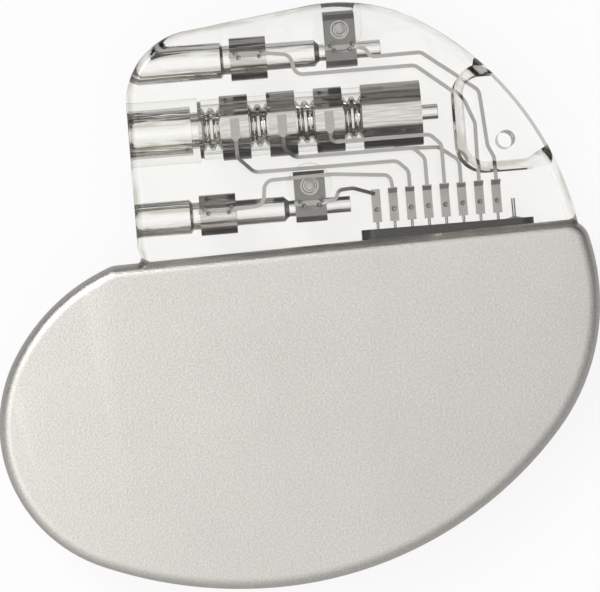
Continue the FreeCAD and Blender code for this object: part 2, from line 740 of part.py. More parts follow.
def septum(shift, axis_y, blank):
    centre = screw_centre(shift, axis_y)
    plug = septum_form(shift, axis_y, TIP_FRONT_Z, SEPTUM_TOP_Z)
    lip = Part.makeCylinder(SEPTUM_LIP_RADIUS, SEPTUM_LIP_HEIGHT, centre + Vector(0, 0, SEPTUM_TOP_Z))
    mouth_floor = centre + Vector(0, 0, SEPTUM_TOP_Z - SEPTUM_LIP_HEIGHT)
    mouth = Part.makeCylinder(SEPTUM_LIP_BORE, 2 * SEPTUM_LIP_HEIGHT, mouth_floor)
    return join([plug, lip]).cut(mouth).common(blank)


# Four-pole port
def middle_stations():
    """Start of each seal and each contact along the stack."""
    first = RETAINER_X + RETAINER_WIDTH
    pitch = SEAL_WIDTH + CONTACT_WIDTH
    seals = [first + pitch * index for index in range(CONTACT_COUNT + 1)]
    contacts = [seal + SEAL_WIDTH for seal in seals[:CONTACT_COUNT]]
    return seals, contacts


SEAL_PLACES, CONTACT_PLACES = middle_stations()
MIDDLE_TIP_X = SEAL_PLACES[-1] + SEAL_WIDTH
MIDDLE_TIP_END_X = MIDDLE_TIP_X + MIDDLE_TIP_LENGTH


def lead_in_sleeve():
    length = RETAINER_X - SLEEVE_X
    stations = [
        (SLEEVE_X, MIDDLE_LEAD_IN_RADIUS),
        (MIDDLE_LEAD_IN_END_X, MIDDLE_LEAD_IN_RADIUS),
        (MIDDLE_LEAD_IN_END_X, MIDDLE_NECK_RADIUS),
        (RETAINER_X, MIDDLE_NECK_RADIUS),
    ]
    return disc(SLEEVE_X, length, SLEEVE_RADIUS, MIDDLE_PORT_Y).cut(turned_part(stations, MIDDLE_PORT_Y))


def retaining_ring():
    body = disc(RETAINER_X, RETAINER_WIDTH, RETAINER_RADIUS, MIDDLE_PORT_Y)
    return body.cut(disc(RETAINER_X, RETAINER_WIDTH, MIDDLE_NECK_RADIUS, MIDDLE_PORT_Y))


def seal(x):
    """A silicone ring with two sealing lips inside."""
    lip_pitch = SEAL_WIDTH / 2
    body = disc(x, SEAL_WIDTH, SEAL_RADIUS, MIDDLE_PORT_Y)
    stations = [(x, SEAL_BORE_RADIUS)]
    for index in range(2):
        crest = x + lip_pitch * (index + 0.5)
        stations.append((crest - SEAL_LIP_WIDTH, SEAL_BORE_RADIUS))
        stations.append((crest - SEAL_LIP_WIDTH / 4, SEAL_LIP_RADIUS))
        stations.append((crest + SEAL_LIP_WIDTH / 4, SEAL_LIP_RADIUS))
        stations.append((crest + SEAL_LIP_WIDTH, SEAL_BORE_RADIUS))
    stations.append((x + SEAL_WIDTH, SEAL_BORE_RADIUS))
    return body.cut(turned_part(stations, MIDDLE_PORT_Y))


def spacer(x):
    body = disc(x, SEAL_WIDTH, SPACER_RADIUS, MIDDLE_PORT_Y)
    return body.cut(disc(x, SEAL_WIDTH, SEAL_RADIUS, MIDDLE_PORT_Y))


FLAT_Z = MID + FLAT_REACH


def flatted_disc(x, length):
    """A contact's outer form, a cylinder with a flat towards the front."""
    above = block(x, MIDDLE_PORT_Y - BEYOND / 2, FLAT_Z, length, BEYOND, CONTACT_RADIUS)
    return disc(x, length, CONTACT_RADIUS, MIDDLE_PORT_Y).cut(above)


def ring_contact(x):
    middle = x + CONTACT_WIDTH / 2
    groove_radius = MIDDLE_BORE_RADIUS - MIDDLE_SPRING_PROUD + 2 * MIDDLE_SPRING_WIRE
    groove = disc(middle - MIDDLE_SPRING_WIRE, 2 * MIDDLE_SPRING_WIRE, groove_radius, MIDDLE_PORT_Y)
    bore = disc(x, CONTACT_WIDTH, MIDDLE_BORE_RADIUS, MIDDLE_PORT_Y)
    return flatted_disc(x, CONTACT_WIDTH).cut(bore).cut(groove)


def contact_springs():
    inner = MIDDLE_BORE_RADIUS - MIDDLE_SPRING_PROUD
    middles = [x + CONTACT_WIDTH / 2 for x in CONTACT_PLACES]
    return Part.makeCompound([spring_ring(x, MIDDLE_SPRING_WIRE, inner, MIDDLE_PORT_Y) for x in middles])


MIDDLE_SCREW_CENTRE = Vector(MIDDLE_TIP_X + MIDDLE_SCREW_INSET, MIDDLE_PORT_Y, 0)


def middle_tip_block():
    body = flatted_disc(MIDDLE_TIP_X, MIDDLE_TIP_LENGTH)
    stations = [
        (MIDDLE_TIP_X, MIDDLE_BORE_RADIUS),
        (MIDDLE_TIP_X + MIDDLE_TIP_COUNTERBORE, MIDDLE_BORE_RADIUS),
        (MIDDLE_TIP_X + MIDDLE_TIP_COUNTERBORE, MIDDLE_PIN_RADIUS),
        (MIDDLE_TIP_END_X, MIDDLE_PIN_RADIUS),
    ]
    body = body.cut(turned_part(stations, MIDDLE_PORT_Y))
    body = body.cut(Part.makeCylinder(MIDDLE_SEPTUM_RADIUS, MIDDLE_SEPTUM_DEPTH, MIDDLE_SCREW_CENTRE))
    return body.cut(Part.makeCylinder(SCREW_RADIUS, MID, MIDDLE_SCREW_CENTRE))


def middle_set_screw():
    start = MIDDLE_SCREW_CENTRE + Vector(0, 0, MIDDLE_SEPTUM_DEPTH)
    bar = Part.makeCylinder(SCREW_RADIUS, MIDDLE_SCREW_LENGTH, start)
    socket_top = MIDDLE_SEPTUM_DEPTH + HEX_DEPTH
    return bar.cut(hexagon(HEX_FLATS, MIDDLE_SCREW_CENTRE, MIDDLE_SEPTUM_DEPTH, socket_top))


def middle_septum():
    return Part.makeCylinder(MIDDLE_SEPTUM_RADIUS, MIDDLE_SEPTUM_DEPTH, MIDDLE_SCREW_CENTRE)


def middle_air():
    """The open bore of the four-pole port where only the header surrounds it."""
    outside = PORT_WALL_X - BEYOND
    lead_in = disc(outside, SLEEVE_X - outside, MIDDLE_LEAD_IN_RADIUS, MIDDLE_PORT_Y)
    pin_end = disc(MIDDLE_TIP_END_X, MIDDLE_PIN_CLEARANCE_LENGTH, MIDDLE_PIN_RADIUS, MIDDLE_PORT_Y)
    return [lead_in, pin_end]


def middle_envelopes():
    """Outer forms of the stack, which the header is cast round."""
    forms = [disc(SLEEVE_X, RETAINER_X - SLEEVE_X, SLEEVE_RADIUS, MIDDLE_PORT_Y)]
    forms.append(disc(RETAINER_X, RETAINER_WIDTH, RETAINER_RADIUS, MIDDLE_PORT_Y))
    forms += [disc(x, SEAL_WIDTH, SPACER_RADIUS, MIDDLE_PORT_Y) for x in SEAL_PLACES]
    forms += [flatted_disc(x, CONTACT_WIDTH) for x in CONTACT_PLACES]
    forms.append(flatted_disc(MIDDLE_TIP_X, MIDDLE_TIP_LENGTH))
    forms.append(middle_septum())
    return forms


# Conductors
TAB_BACK_Z = MID + PIN_RADIUS
STRAP_LEVEL = TIP_FRONT_Z + RIBBON_THICKNESS / 2
HIGH_LEVEL = FLAT_Z + RIBBON_THICKNESS / 2
STEP_LEVEL = HIGH_LEVEL - STEP_DROP
LOW_LEVEL = HIGH_LEVEL - LOW_DROP
DEEP_LEVEL = TAB_BACK_Z + TAB_THICKNESS + RIBBON_THICKNESS / 2


def feedthrough_tab(index, level):
    """The tab welded to a pin, bent back at its head to a ribbon's level."""
    x = pin_places()[index] - TAB_WIDTH / 2
    front = TAB_BACK_Z + TAB_THICKNESS
    top = level + RIBBON_THICKNESS / 2
    cap_foot = TAB_HEAD_Y - TAB_CAP_HEIGHT
    corners = [
        Vector(x, TAB_FOOT_Y, TAB_BACK_Z),
        Vector(x, TAB_FOOT_Y, front),
        Vector(x, cap_foot, front),
        Vector(x, TAB_HEAD_Y - TAB_CAP_LAP, top),
        Vector(x, TAB_HEAD_Y, top),
        Vector(x, TAB_HEAD_Y, TAB_BACK_Z),
    ]
    return Part.Face(Part.makePolygon(corners + corners[:1])).extrude(Vector(TAB_WIDTH, 0, 0))


def drop_to_tab(index, level):
    """Last point of a ribbon, on the head of its tab."""
    return (pin_places()[index], TAB_HEAD_Y - TAB_CAP_LAP, level)


def contact_tab(x):
    """The flat tab on a contact ring, tapered to the ribbon's width."""
    middle = x + CONTACT_WIDTH / 2
    half = CONTACT_TAB_WIDTH / 2
    foot = MIDDLE_PORT_Y - CONTACT_TAB_BELOW
    corners = [
        Vector(middle - half, MIDDLE_PORT_Y + CONTACT_TAB_ABOVE, FLAT_Z),
        Vector(middle + half, MIDDLE_PORT_Y + CONTACT_TAB_ABOVE, FLAT_Z),
        Vector(middle + half, foot, FLAT_Z),
        Vector(middle + RIBBON_WIDTH / 2, foot - CONTACT_TAB_TAPER, FLAT_Z),
        Vector(middle - RIBBON_WIDTH / 2, foot - CONTACT_TAB_TAPER, FLAT_Z),
        Vector(middle - half, foot, FLAT_Z),
    ]
    return Part.Face(Part.makePolygon(corners + corners[:1])).extrude(Vector(0, 0, RIBBON_THICKNESS))


def strap(x, length, axis_y, low, high):
    """A welded strap across the front of a block."""
    foot_y = axis_y + STRAP_OFFSET_Y - STRAP_WIDTH / 2
    return block(x - STRAP_OVERHANG, foot_y, low, length + 2 * STRAP_OVERHANG, STRAP_WIDTH, high - low)


def turns_from(x, y, level, turns):
    """Points of a route, as offsets from a place on a port's axis or above a pin."""
    return [(x + along, y + above, level + rise) for along, above, rise in turns]


def contact_ribbon(number):
    """Conductor of one contact ring, led along its own lane to its pin."""
    tab_index = number + 2
    middle = CONTACT_PLACES[number] + CONTACT_WIDTH / 2
    lane = MIDDLE_PORT_Y - LANE_DROPS[number]
    turn = LANE_TURNS[number]
    level = LOW_LEVEL if turn else STEP_LEVEL
    pin_x = pin_places()[tab_index]
    points = [(middle, MIDDLE_PORT_Y - CONTACT_TAB_BELOW, HIGH_LEVEL)]
    if turn:
        points.append((middle, lane + turn, STEP_LEVEL))
        points.append((middle + turn, lane, level))
    else:
        points.append((middle, lane, level + STEP_SAG))
    points.append((pin_x - PIN_TURN, lane, level))
    points.append((pin_x, lane - PIN_TURN, level))
    points.append(drop_to_tab(tab_index, level))
    run = ribbon(points, RIBBON_WIDTH)
    return join([contact_tab(CONTACT_PLACES[number]), run, feedthrough_tab(tab_index, level)])


def ring_block_ribbon(shift, axis_y, tab_index, route):
    """Conductor of a bipolar port's ring block, from its strap to its pin."""
    x = RING_BLOCK_X + shift
    edge = STRAP_OFFSET_Y + STRAP_WIDTH / 2
    strap_foot = MID + math.sqrt(RING_BLOCK_RADIUS ** 2 - edge ** 2)
    bar = strap(x, RING_BLOCK_LENGTH, axis_y, strap_foot, FRONT_LEVEL)
    start = (x + RING_BLOCK_LENGTH, axis_y + STRAP_OFFSET_Y, FRONT_LEVEL)
    run = ribbon([start] + route + [drop_to_tab(tab_index, FRONT_LEVEL)], RIBBON_WIDTH)
    joined = join([bar, run, feedthrough_tab(tab_index, FRONT_LEVEL)])
    return joined.cut(disc(x, RING_BLOCK_LENGTH, RING_BLOCK_RADIUS, axis_y))


def tip_block_ribbon(shift, axis_y, route, tab):
    """Conductor of a bipolar port's tip block, from its strap to its pin."""
    x = TIP_BLOCK_X + shift
    bar = strap(x, TIP_BLOCK_WIDTH, axis_y, TIP_FRONT_Z, TIP_FRONT_Z + STRAP_THICKNESS)
    start = (x + TIP_BLOCK_WIDTH - STRAP_LAP, axis_y + STRAP_OFFSET_Y, STRAP_LEVEL)
    run = ribbon([start] + route, RIBBON_WIDTH)
    return join([bar, run, tab])


def lower_tip_ribbon():
    route = turns_from(TIP_BLOCK_X + TIP_BLOCK_WIDTH, LOWER_PORT_Y, STRAP_LEVEL, LOWER_TIP_TURNS)
    route.append((pin_places()[0], TAB_HEAD_Y - TAB_CAP_HEIGHT, TAB_BACK_Z + RIBBON_THICKNESS / 2))
    tab = feedthrough_tab(0, TAB_BACK_Z + TAB_THICKNESS / 2)
    return tip_block_ribbon(0, LOWER_PORT_Y, route, tab)


def lower_ring_ribbon():
    block_end = RING_BLOCK_X + RING_BLOCK_LENGTH
    route = turns_from(block_end, LOWER_PORT_Y, FRONT_LEVEL, LOWER_RING_TURNS)
    route += turns_from(pin_places()[1], LOWER_PORT_Y, FRONT_LEVEL, LOWER_RING_DESCENT)
    return ring_block_ribbon(0, LOWER_PORT_Y, 1, route)


def middle_tip_ribbon():
    start_y = MIDDLE_PORT_Y - CONTACT_RADIUS - RIBBON_WIDTH / 2
    points = [(MIDDLE_SCREW_CENTRE.x, start_y, DEEP_LEVEL)]
    points += turns_from(pin_places()[5], MIDDLE_PORT_Y, DEEP_LEVEL, MIDDLE_TIP_DESCENT)
    points.append(drop_to_tab(5, DEEP_LEVEL))
    return join([ribbon(points, RIBBON_WIDTH), feedthrough_tab(5, DEEP_LEVEL)])


def upper_ring_ribbon():
    block_end = RING_BLOCK_X + UPPER_PORT_SHIFT + RING_BLOCK_LENGTH
    route = turns_from(block_end, UPPER_PORT_Y, FRONT_LEVEL, UPPER_RING_TURNS)
    route += turns_from(pin_places()[6], MIDDLE_PORT_Y, FRONT_LEVEL, UPPER_RING_DESCENT)
    return ring_block_ribbon(UPPER_PORT_SHIFT, UPPER_PORT_Y, 6, route)


def upper_tip_ribbon():
    block_end = TIP_BLOCK_X + UPPER_PORT_SHIFT + TIP_BLOCK_WIDTH
    route = turns_from(block_end, UPPER_PORT_Y, STRAP_LEVEL, UPPER_TIP_TURNS)
    route += turns_from(pin_places()[7], MIDDLE_PORT_Y, STRAP_LEVEL, UPPER_TIP_DESCENT)
    route.append(drop_to_tab(7, STRAP_LEVEL))
    return tip_block_ribbon(UPPER_PORT_SHIFT, UPPER_PORT_Y, route, feedthrough_tab(7, STRAP_LEVEL))


def conductors():
    """All eight conductors, by name."""
    made = {"lower_tip_ribbon": lower_tip_ribbon(), "lower_ring_ribbon": lower_ring_ribbon()}
    for number in range(CONTACT_COUNT):
        made["middle_ribbon_" + str(number + 1)] = contact_ribbon(number)
    made["middle_tip_ribbon"] = middle_tip_ribbon()
    made["upper_ring_ribbon"] = upper_ring_ribbon()
    made["upper_tip_ribbon"] = upper_tip_ribbon()
    return made


# Pieces sealed inside the can
FRAME_INSET = SHELL_WALL + WELD_BAND_WALL + FRAME_CLEARANCE
BAY_INSET = FRAME_INSET + FRAME_WALL + INNER_CLEARANCE
BOARD_TOP_Z = MID - PIN_RADIUS
BOARD_BACK_Z = BOARD_TOP_Z - BOARD_THICKNESS
BOARD_FOOT_Y = FRAME_BAR_Y + INNER_CLEARANCE
BOARD_LEFT_X = COIL_CORE_X + COIL_CORE_WIDTH + COIL_WINDING_WALL + BOARD_COIL_GAP
BATTERY_TOP_Y = FRAME_BAR_Y - FRAME_BAR_WIDTH - BATTERY_BAR_GAP
BATTERY_LID_Y = BATTERY_TOP_Y + LID_THICKNESS
BATTERY_BACK_Z = SHELL_WALL + BATTERY_FACE_CLEARANCE
BATTERY_DEPTH = THICKNESS - 2 * BATTERY_BACK_Z
COIL_CORE_FOOT_Y = FRAME_BAR_Y + COIL_BAR_GAP


def hollow_floor(inset):
    """Height of the can's inner skin at an inset from its outer edge."""
    inner_radius = SHOULDER_RADIUS - SHELL_WALL
    return SHOULDER_RADIUS - math.sqrt(inner_radius ** 2 - (SHOULDER_RADIUS - inset) ** 2)


def region(low_x, low_y, high_x, high_y):
    corners = [
        Vector(low_x, low_y, 0),
        Vector(high_x, low_y, 0),
        Vector(high_x, high_y, 0),
        Vector(low_x, high_y, 0),
    ]
    return Part.Face(Part.makePolygon(corners + corners[:1]))


def battery_case():
    reach = 2 * BEYOND
    face = inner_face(BAY_INSET).common(region(-reach, -reach, reach, BATTERY_TOP_Y)).Faces[0]
    body = slab(face, BATTERY_BACK_Z, BATTERY_BACK_Z + BATTERY_DEPTH)
    rims = [edge for edge in body.Edges if abs(edge.BoundBox.ZLength) < 1e-6]
    return body.makeFillet(BATTERY_EDGE_RADIUS, rims)


def battery_lid():
    depth = BATTERY_DEPTH - 2 * (BATTERY_EDGE_RADIUS + LID_INSET)
    back = MID - depth / 2
    lid = block(LID_X, BATTERY_TOP_Y, back, LID_LENGTH, LID_THICKNESS, depth)
    corners = [edge for edge in lid.Edges if abs(edge.BoundBox.YLength - LID_THICKNESS) < 1e-6]
    lid = lid.makeFillet(depth / 4, corners)
    return lid.cut(upright(TERMINAL_X, BATTERY_TOP_Y, BATTERY_LID_Y, TERMINAL_GLASS_RADIUS))


def battery_glass():
    bead = upright(TERMINAL_X, BATTERY_TOP_Y, BATTERY_LID_Y, TERMINAL_GLASS_RADIUS)
    return bead.cut(upright(TERMINAL_X, BATTERY_TOP_Y, BATTERY_LID_Y, TERMINAL_RADIUS))


def battery_terminal():
    head = BOARD_FOOT_Y + TERMINAL_BOARD_LAP
    post = upright(TERMINAL_X, BATTERY_TOP_Y, head, TERMINAL_RADIUS)
    left = TERMINAL_X - TERMINAL_RADIUS
    return post.cut(block(left, BOARD_FOOT_Y, 0, 2 * TERMINAL_RADIUS, TERMINAL_BOARD_LAP, BOARD_TOP_Z))


def battery_lead():
    """The negative lead, a strip from the battery lid to the board."""
    length = BOARD_FOOT_Y + BATTERY_LEAD_BOARD_LAP - BATTERY_LID_Y
    return block(
        BATTERY_LEAD_X, BATTERY_LID_Y, BOARD_TOP_Z,
        BATTERY_LEAD_WIDTH, length, BATTERY_LEAD_THICKNESS)


def inner_frame():
    low = hollow_floor(FRAME_INSET) + FRAME_FACE_CLEARANCE
    high = THICKNESS - low
    wall = band(FRAME_INSET, FRAME_WALL, low, high)
    reach = 2 * BEYOND
    strip = region(-reach, FRAME_BAR_Y - FRAME_BAR_WIDTH, reach, FRAME_BAR_Y)
    bar = slab(inner_face(FRAME_INSET).common(strip).Faces[0], low, high)
    window = block(
        FLANGE_X - FRAME_WINDOW_MARGIN, CAN_TOP_Y - FRAME_WINDOW_DROP, 0,
        FLANGE_LENGTH + 2 * FRAME_WINDOW_MARGIN, FRAME_WINDOW_DROP, THICKNESS)
    frame = join([wall, bar]).cut(window)
    frame = frame.cut(upright(TERMINAL_X, BATTERY_LID_Y, BOARD_FOOT_Y, TERMINAL_RADIUS + FRAME_CLEARANCE))
    slot = block(
        BATTERY_LEAD_X - FRAME_CLEARANCE, BATTERY_LID_Y, BOARD_TOP_Z - FRAME_CLEARANCE,
        BATTERY_LEAD_WIDTH + 2 * FRAME_CLEARANCE, BOARD_FOOT_Y - BATTERY_LID_Y,
        BATTERY_LEAD_THICKNESS + 2 * FRAME_CLEARANCE)
    return frame.cut(slot)


def circuit_board():
    shape = inner_face(BAY_INSET).common(region(BOARD_LEFT_X, BOARD_FOOT_Y, 2 * BEYOND, BOARD_HEAD_Y))
    return slab(shape.Faces[0], BOARD_BACK_Z, BOARD_TOP_Z)


def chip(right, above, length, height, depth):
    """A chip on the board's front, placed from the board's left and lower edges."""
    return block(BOARD_LEFT_X + right, BOARD_FOOT_Y + above, BOARD_TOP_Z, length, height, depth)


def capacitors():
    """Tantalum capacitors in a row on the back of the board."""
    right, above = CAPACITOR_PLACE
    y = BOARD_FOOT_Y + above
    back = BOARD_BACK_Z - CAPACITOR_DEPTH
    bodies = []
    for index in range(CAPACITOR_COUNT):
        x = BOARD_LEFT_X + right + CAPACITOR_PITCH * index
        bodies.append(block(x, y, back, CAPACITOR_LENGTH, CAPACITOR_HEIGHT, CAPACITOR_DEPTH))
    return Part.makeCompound(bodies)


def crystal():
    """The quartz crystal's can, a round-ended cylinder laid on the board."""
    right, above = CRYSTAL_PLACE
    start = Vector(BOARD_LEFT_X + right, BOARD_FOOT_Y + above, BOARD_TOP_Z + CRYSTAL_RADIUS)
    bar = Part.makeCylinder(CRYSTAL_RADIUS, CRYSTAL_LENGTH, start, Vector(1, 0, 0))
    rims = [edge for edge in bar.Edges if edge.Closed]
    return bar.makeFillet(CRYSTAL_RADIUS / 3, rims)


def telemetry_core():
    back = MID - COIL_CORE_DEPTH / 2
    return block(COIL_CORE_X, COIL_CORE_FOOT_Y, back, COIL_CORE_WIDTH, COIL_CORE_LENGTH, COIL_CORE_DEPTH)


def telemetry_winding():
    wall = COIL_WINDING_WALL
    body = block(
        COIL_CORE_X - wall, COIL_CORE_FOOT_Y + COIL_WINDING_MARGIN, MID - COIL_CORE_DEPTH / 2 - wall,
        COIL_CORE_WIDTH + 2 * wall, COIL_CORE_LENGTH - 2 * COIL_WINDING_MARGIN, COIL_CORE_DEPTH + 2 * wall)
    corners = [edge for edge in body.Edges if edge.BoundBox.YLength > 1]
    return body.makeFillet(wall, corners).cut(telemetry_core())


# The whole device, node by node
def build():
    nodes = {}
    nodes["front_shell"] = shell(MID, THICKNESS)
    nodes["back_shell"] = shell(0, MID)
    nodes["weld_band"] = weld_band()
    nodes["inner_frame"] = inner_frame()
    nodes["battery_case"] = battery_case()
    nodes["battery_lid"] = battery_lid()
    nodes["battery_glass"] = battery_glass()
    nodes["battery_terminal"] = battery_terminal()
    nodes["battery_lead"] = battery_lead()
    nodes["circuit_board"] = circuit_board()
    for name, sizes in CHIPS.items():
        nodes[name] = chip(*sizes)
    nodes["crystal"] = crystal()
    nodes["pacing_capacitors"] = capacitors()
    nodes["telemetry_core"] = telemetry_core()
    nodes["telemetry_winding"] = telemetry_winding()
    nodes["feedthrough_flange"] = feedthrough_flange()
    nodes["feedthrough_beads"] = feedthrough_beads()
    nodes["feedthrough_pins"] = feedthrough_pins()
    nodes["ground_pin"] = ground_pin()

    blank = header_blank()
    runs = conductors()
    ports = {"lower": (0, LOWER_PORT_Y), "upper": (UPPER_PORT_SHIFT, UPPER_PORT_Y)}
    tools = middle_air() + middle_envelopes()
    for name, (shift, axis_y) in ports.items():
        nodes[name + "_ring_block"] = ring_block(shift, axis_y)
        nodes[name + "_tip_block"] = tip_block(shift, axis_y)
        nodes[name + "_set_screw"] = set_screw(shift, axis_y)
        plug = septum(shift, axis_y, blank)
        for run in runs.values():
            plug = plug.cut(run)
        nodes[name + "_septum"] = plug
        tools += [
            port_bore(shift, axis_y),
            disc(RING_BLOCK_X + shift, RING_BLOCK_LENGTH, RING_BLOCK_RADIUS, axis_y),
            tip_envelope(shift, axis_y),
            septum_form(shift, axis_y, TIP_FRONT_Z, 2 * THICKNESS),
        ]
    nodes["bipolar_springs"] = Part.makeCompound([ring_spring(*place) for place in ports.values()])
    nodes["middle_sleeve"] = lead_in_sleeve()
    nodes["middle_retaining_ring"] = retaining_ring()
    for number, x in enumerate(SEAL_PLACES, 1):
        nodes["middle_seal_" + str(number)] = seal(x)
        nodes["middle_spacer_" + str(number)] = spacer(x)
    for number, x in enumerate(CONTACT_PLACES, 1):
        nodes["middle_contact_" + str(number)] = ring_contact(x)
    nodes["middle_springs"] = contact_springs()
    nodes["middle_tip_block"] = middle_tip_block()
    nodes["middle_set_screw"] = middle_set_screw()
    nodes["middle_septum"] = middle_septum()

    header = blank.cut(CAN_BODY)
    header = header.cut(slab(below_can_top(HEADER_LAP), -1, THICKNESS + 1))
    tools += recess_tools(RECESS_FLOOR_Z, THICKNESS) + recess_tools(RECESS_DEPTH, 0)
    suture = Vector(RECESS_X + SUTURE_INSET, MIDDLE_PORT_Y - SUTURE_DROP, 0)
    header = header.cut(Part.makeCylinder(SUTURE_RADIUS, THICKNESS, suture))
    tools += [FLANGE_PLATE, nodes["ground_pin"], nodes["feedthrough_pins"]]
    tools += list(runs.values())
    for tool in tools:
        header = header.cut(tool)
    nodes["header_body"] = header
    nodes.update(runs)
    return nodes


def main():
    os.makedirs("parts", exist_ok=True)
    nodes = build()
    for name, shape in nodes.items():
        shape.exportStep("parts/" + name + ".step")
        print(name, len(shape.Solids), round(shape.Volume, 3), shape.isValid())
    print("nodes", len(nodes))


main()
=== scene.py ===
# %% [markdown]
# A heart pacemaker in Blender. The metal can, the clear header and every small metal
# piece come from an engineering model that is already at its real size. This lesson gives
# each of them its finish, and makes the pieces that are easier to make here: the clear
# casting as one body of plastic, smooth copies of the polished contacts, the coiled contact
# springs and the weld beads. Everything is in metres, and MM is a millimetre.

# %% Load the fixed model
import json
import math

import bmesh
import bpy
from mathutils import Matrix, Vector
from mathutils.bvhtree import BVHTree

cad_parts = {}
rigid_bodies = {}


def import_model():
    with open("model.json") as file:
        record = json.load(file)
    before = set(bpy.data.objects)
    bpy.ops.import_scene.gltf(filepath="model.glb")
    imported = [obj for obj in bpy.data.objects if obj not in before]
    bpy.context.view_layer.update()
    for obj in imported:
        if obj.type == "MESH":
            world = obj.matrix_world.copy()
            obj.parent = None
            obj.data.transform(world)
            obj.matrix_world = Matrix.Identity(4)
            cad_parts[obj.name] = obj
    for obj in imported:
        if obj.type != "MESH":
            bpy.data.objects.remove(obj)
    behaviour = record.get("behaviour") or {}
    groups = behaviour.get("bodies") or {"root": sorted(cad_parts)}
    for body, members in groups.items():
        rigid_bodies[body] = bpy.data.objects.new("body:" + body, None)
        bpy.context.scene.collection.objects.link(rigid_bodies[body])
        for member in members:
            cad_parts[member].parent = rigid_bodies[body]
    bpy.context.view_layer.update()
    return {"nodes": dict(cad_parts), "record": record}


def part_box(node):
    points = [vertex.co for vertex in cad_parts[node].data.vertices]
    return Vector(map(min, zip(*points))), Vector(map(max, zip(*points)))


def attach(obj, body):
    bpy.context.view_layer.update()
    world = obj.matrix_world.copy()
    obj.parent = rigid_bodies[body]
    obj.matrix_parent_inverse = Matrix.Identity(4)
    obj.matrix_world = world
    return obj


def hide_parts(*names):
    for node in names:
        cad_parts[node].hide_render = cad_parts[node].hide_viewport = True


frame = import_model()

MM = 0.001
NODES = frame["nodes"]
print("pieces in the model:", len(NODES))

# %% [markdown]
# The photograph looks straight at the front face, so the device lies on its back and the
# camera hangs above it, looking straight down. A long lens from a little over a quarter of
# a metre keeps the outline true. The picture is turned a little, so the camera is, too.

# %% Camera above the front face
VIEW_DISTANCE = 280 * MM
VIEW_WIDTH = 61.5 * MM
VIEW_CENTRE = Vector((0.623 * MM, -0.104 * MM, 3.6 * MM))
VIEW_TURN = math.radians(-4.6)
SENSOR = 36.0

camera_data = bpy.data.cameras.new("camera")
camera_data.sensor_width = SENSOR
camera_data.lens = SENSOR * VIEW_DISTANCE / VIEW_WIDTH
camera_data.clip_start = 10 * MM
camera = bpy.data.objects.new("camera", camera_data)
camera.location = VIEW_CENTRE + Vector((0, 0, VIEW_DISTANCE))
camera.rotation_euler = (0, 0, VIEW_TURN)
bpy.context.scene.collection.objects.link(camera)
bpy.context.scene.camera = camera
print("lens in mm:", round(camera_data.lens, 1))

# %% [markdown]
# Clear plastic needs long light paths: light may cross many walls and be turned back inside
# the casting many times before it leaves. The limits on bounces are raised for that.

# %% Length of the light paths
bpy.context.scene.view_settings.view_transform = "Standard"
cycles = bpy.context.scene.cycles
cycles.max_bounces = 24
cycles.transmission_bounces = 24
cycles.glossy_bounces = 12
cycles.transparent_max_bounces = 24
print("bounces of a light path:", cycles.max_bounces)

# %% [markdown]
# Small helpers come next. A material is a tree of nodes, and these helpers add a node with
# its settings and join two sockets, so that each material below reads as a short recipe.

# %% Helpers for node trees
def add_node(tree, kind, **settings):
    """Add a node, and set its properties and its input values by name."""
    node = tree.nodes.new(kind)
    for name, value in settings.items():
        if hasattr(node, name):
            setattr(node, name, value)
        else:
            node.inputs[name.replace("_", " ")].default_value = value
    return node


def join(tree, source, target):
    tree.links.new(source, target)


def feed(tree, value, socket):
    """Join an input to a socket, or set it to a plain value."""
    if isinstance(value, bpy.types.NodeSocket):
        join(tree, value, socket)
    else:
        socket.default_value = value


def math_node(tree, operation, *values):
    """One step of arithmetic on sockets or plain numbers."""
    node = add_node(tree, "ShaderNodeMath", operation=operation)
    for place, value in enumerate(values):
        feed(tree, value, node.inputs[place])
    return node.outputs[0]


def new_material(name):
    material = bpy.data.materials.new(name)
    material.use_nodes = True
    shader = material.node_tree.nodes["Principled BSDF"]
    return material, material.node_tree, shader


def place_group(tree, group, **values):
    """Place a shader node group in a material, with its own values."""
    node = tree.nodes.new("ShaderNodeGroup")
    node.node_tree = group
    coordinates = tree.nodes.new("ShaderNodeTexCoord")
    join(tree, coordinates.outputs["Object"], node.inputs["Place"])
    for name, value in values.items():
        node.inputs[name.replace("_", " ")].default_value = value
    return node


def new_group(name, inputs, outputs):
    """Make a shader node group with named sockets."""
    group = bpy.data.node_groups.new(name, "ShaderNodeTree")
    for label, kind, value in inputs:
        socket = group.interface.new_socket(name=label, in_out="INPUT", socket_type=kind)
        if value is not None:
            socket.default_value = value
    for label, kind in outputs:
        group.interface.new_socket(name=label, in_out="OUTPUT", socket_type=kind)
    start = group.nodes.new("NodeGroupInput")
    end = group.nodes.new("NodeGroupOutput")
    return group, start, end


# %% [markdown]
# The patterns on metal and plastic are noise, which is used in a few set ways. It gives its
# grains a size and draws them out along an axis. It swings a value up and down, scales a
# colour, and raises a relief that bends the normal.

# %% Helpers for patterns
def squeezed_noise(group, place, squeeze, size, **settings):
    """Noise with grains of a given size, longer along an axis with a squeeze under 1."""
    squeezed = add_node(group, "ShaderNodeVectorMath", operation="MULTIPLY")
    join(group, place, squeezed.inputs[0])
    feed(group, squeeze, squeezed.inputs[1])
    noise = add_node(group, "ShaderNodeTexNoise", **settings)
    join(group, squeezed.outputs[0], noise.inputs["Vector"])
    join(group, math_node(group, "DIVIDE", 1, size), noise.inputs["Scale"])
    return noise.outputs["Fac"]


def swing(group, source, amount):
    """One plus a share of how far a noise value lies from its middle."""
    centred = math_node(group, "SUBTRACT", source, 0.5)
    return math_node(group, "MULTIPLY_ADD", centred, amount, 1)


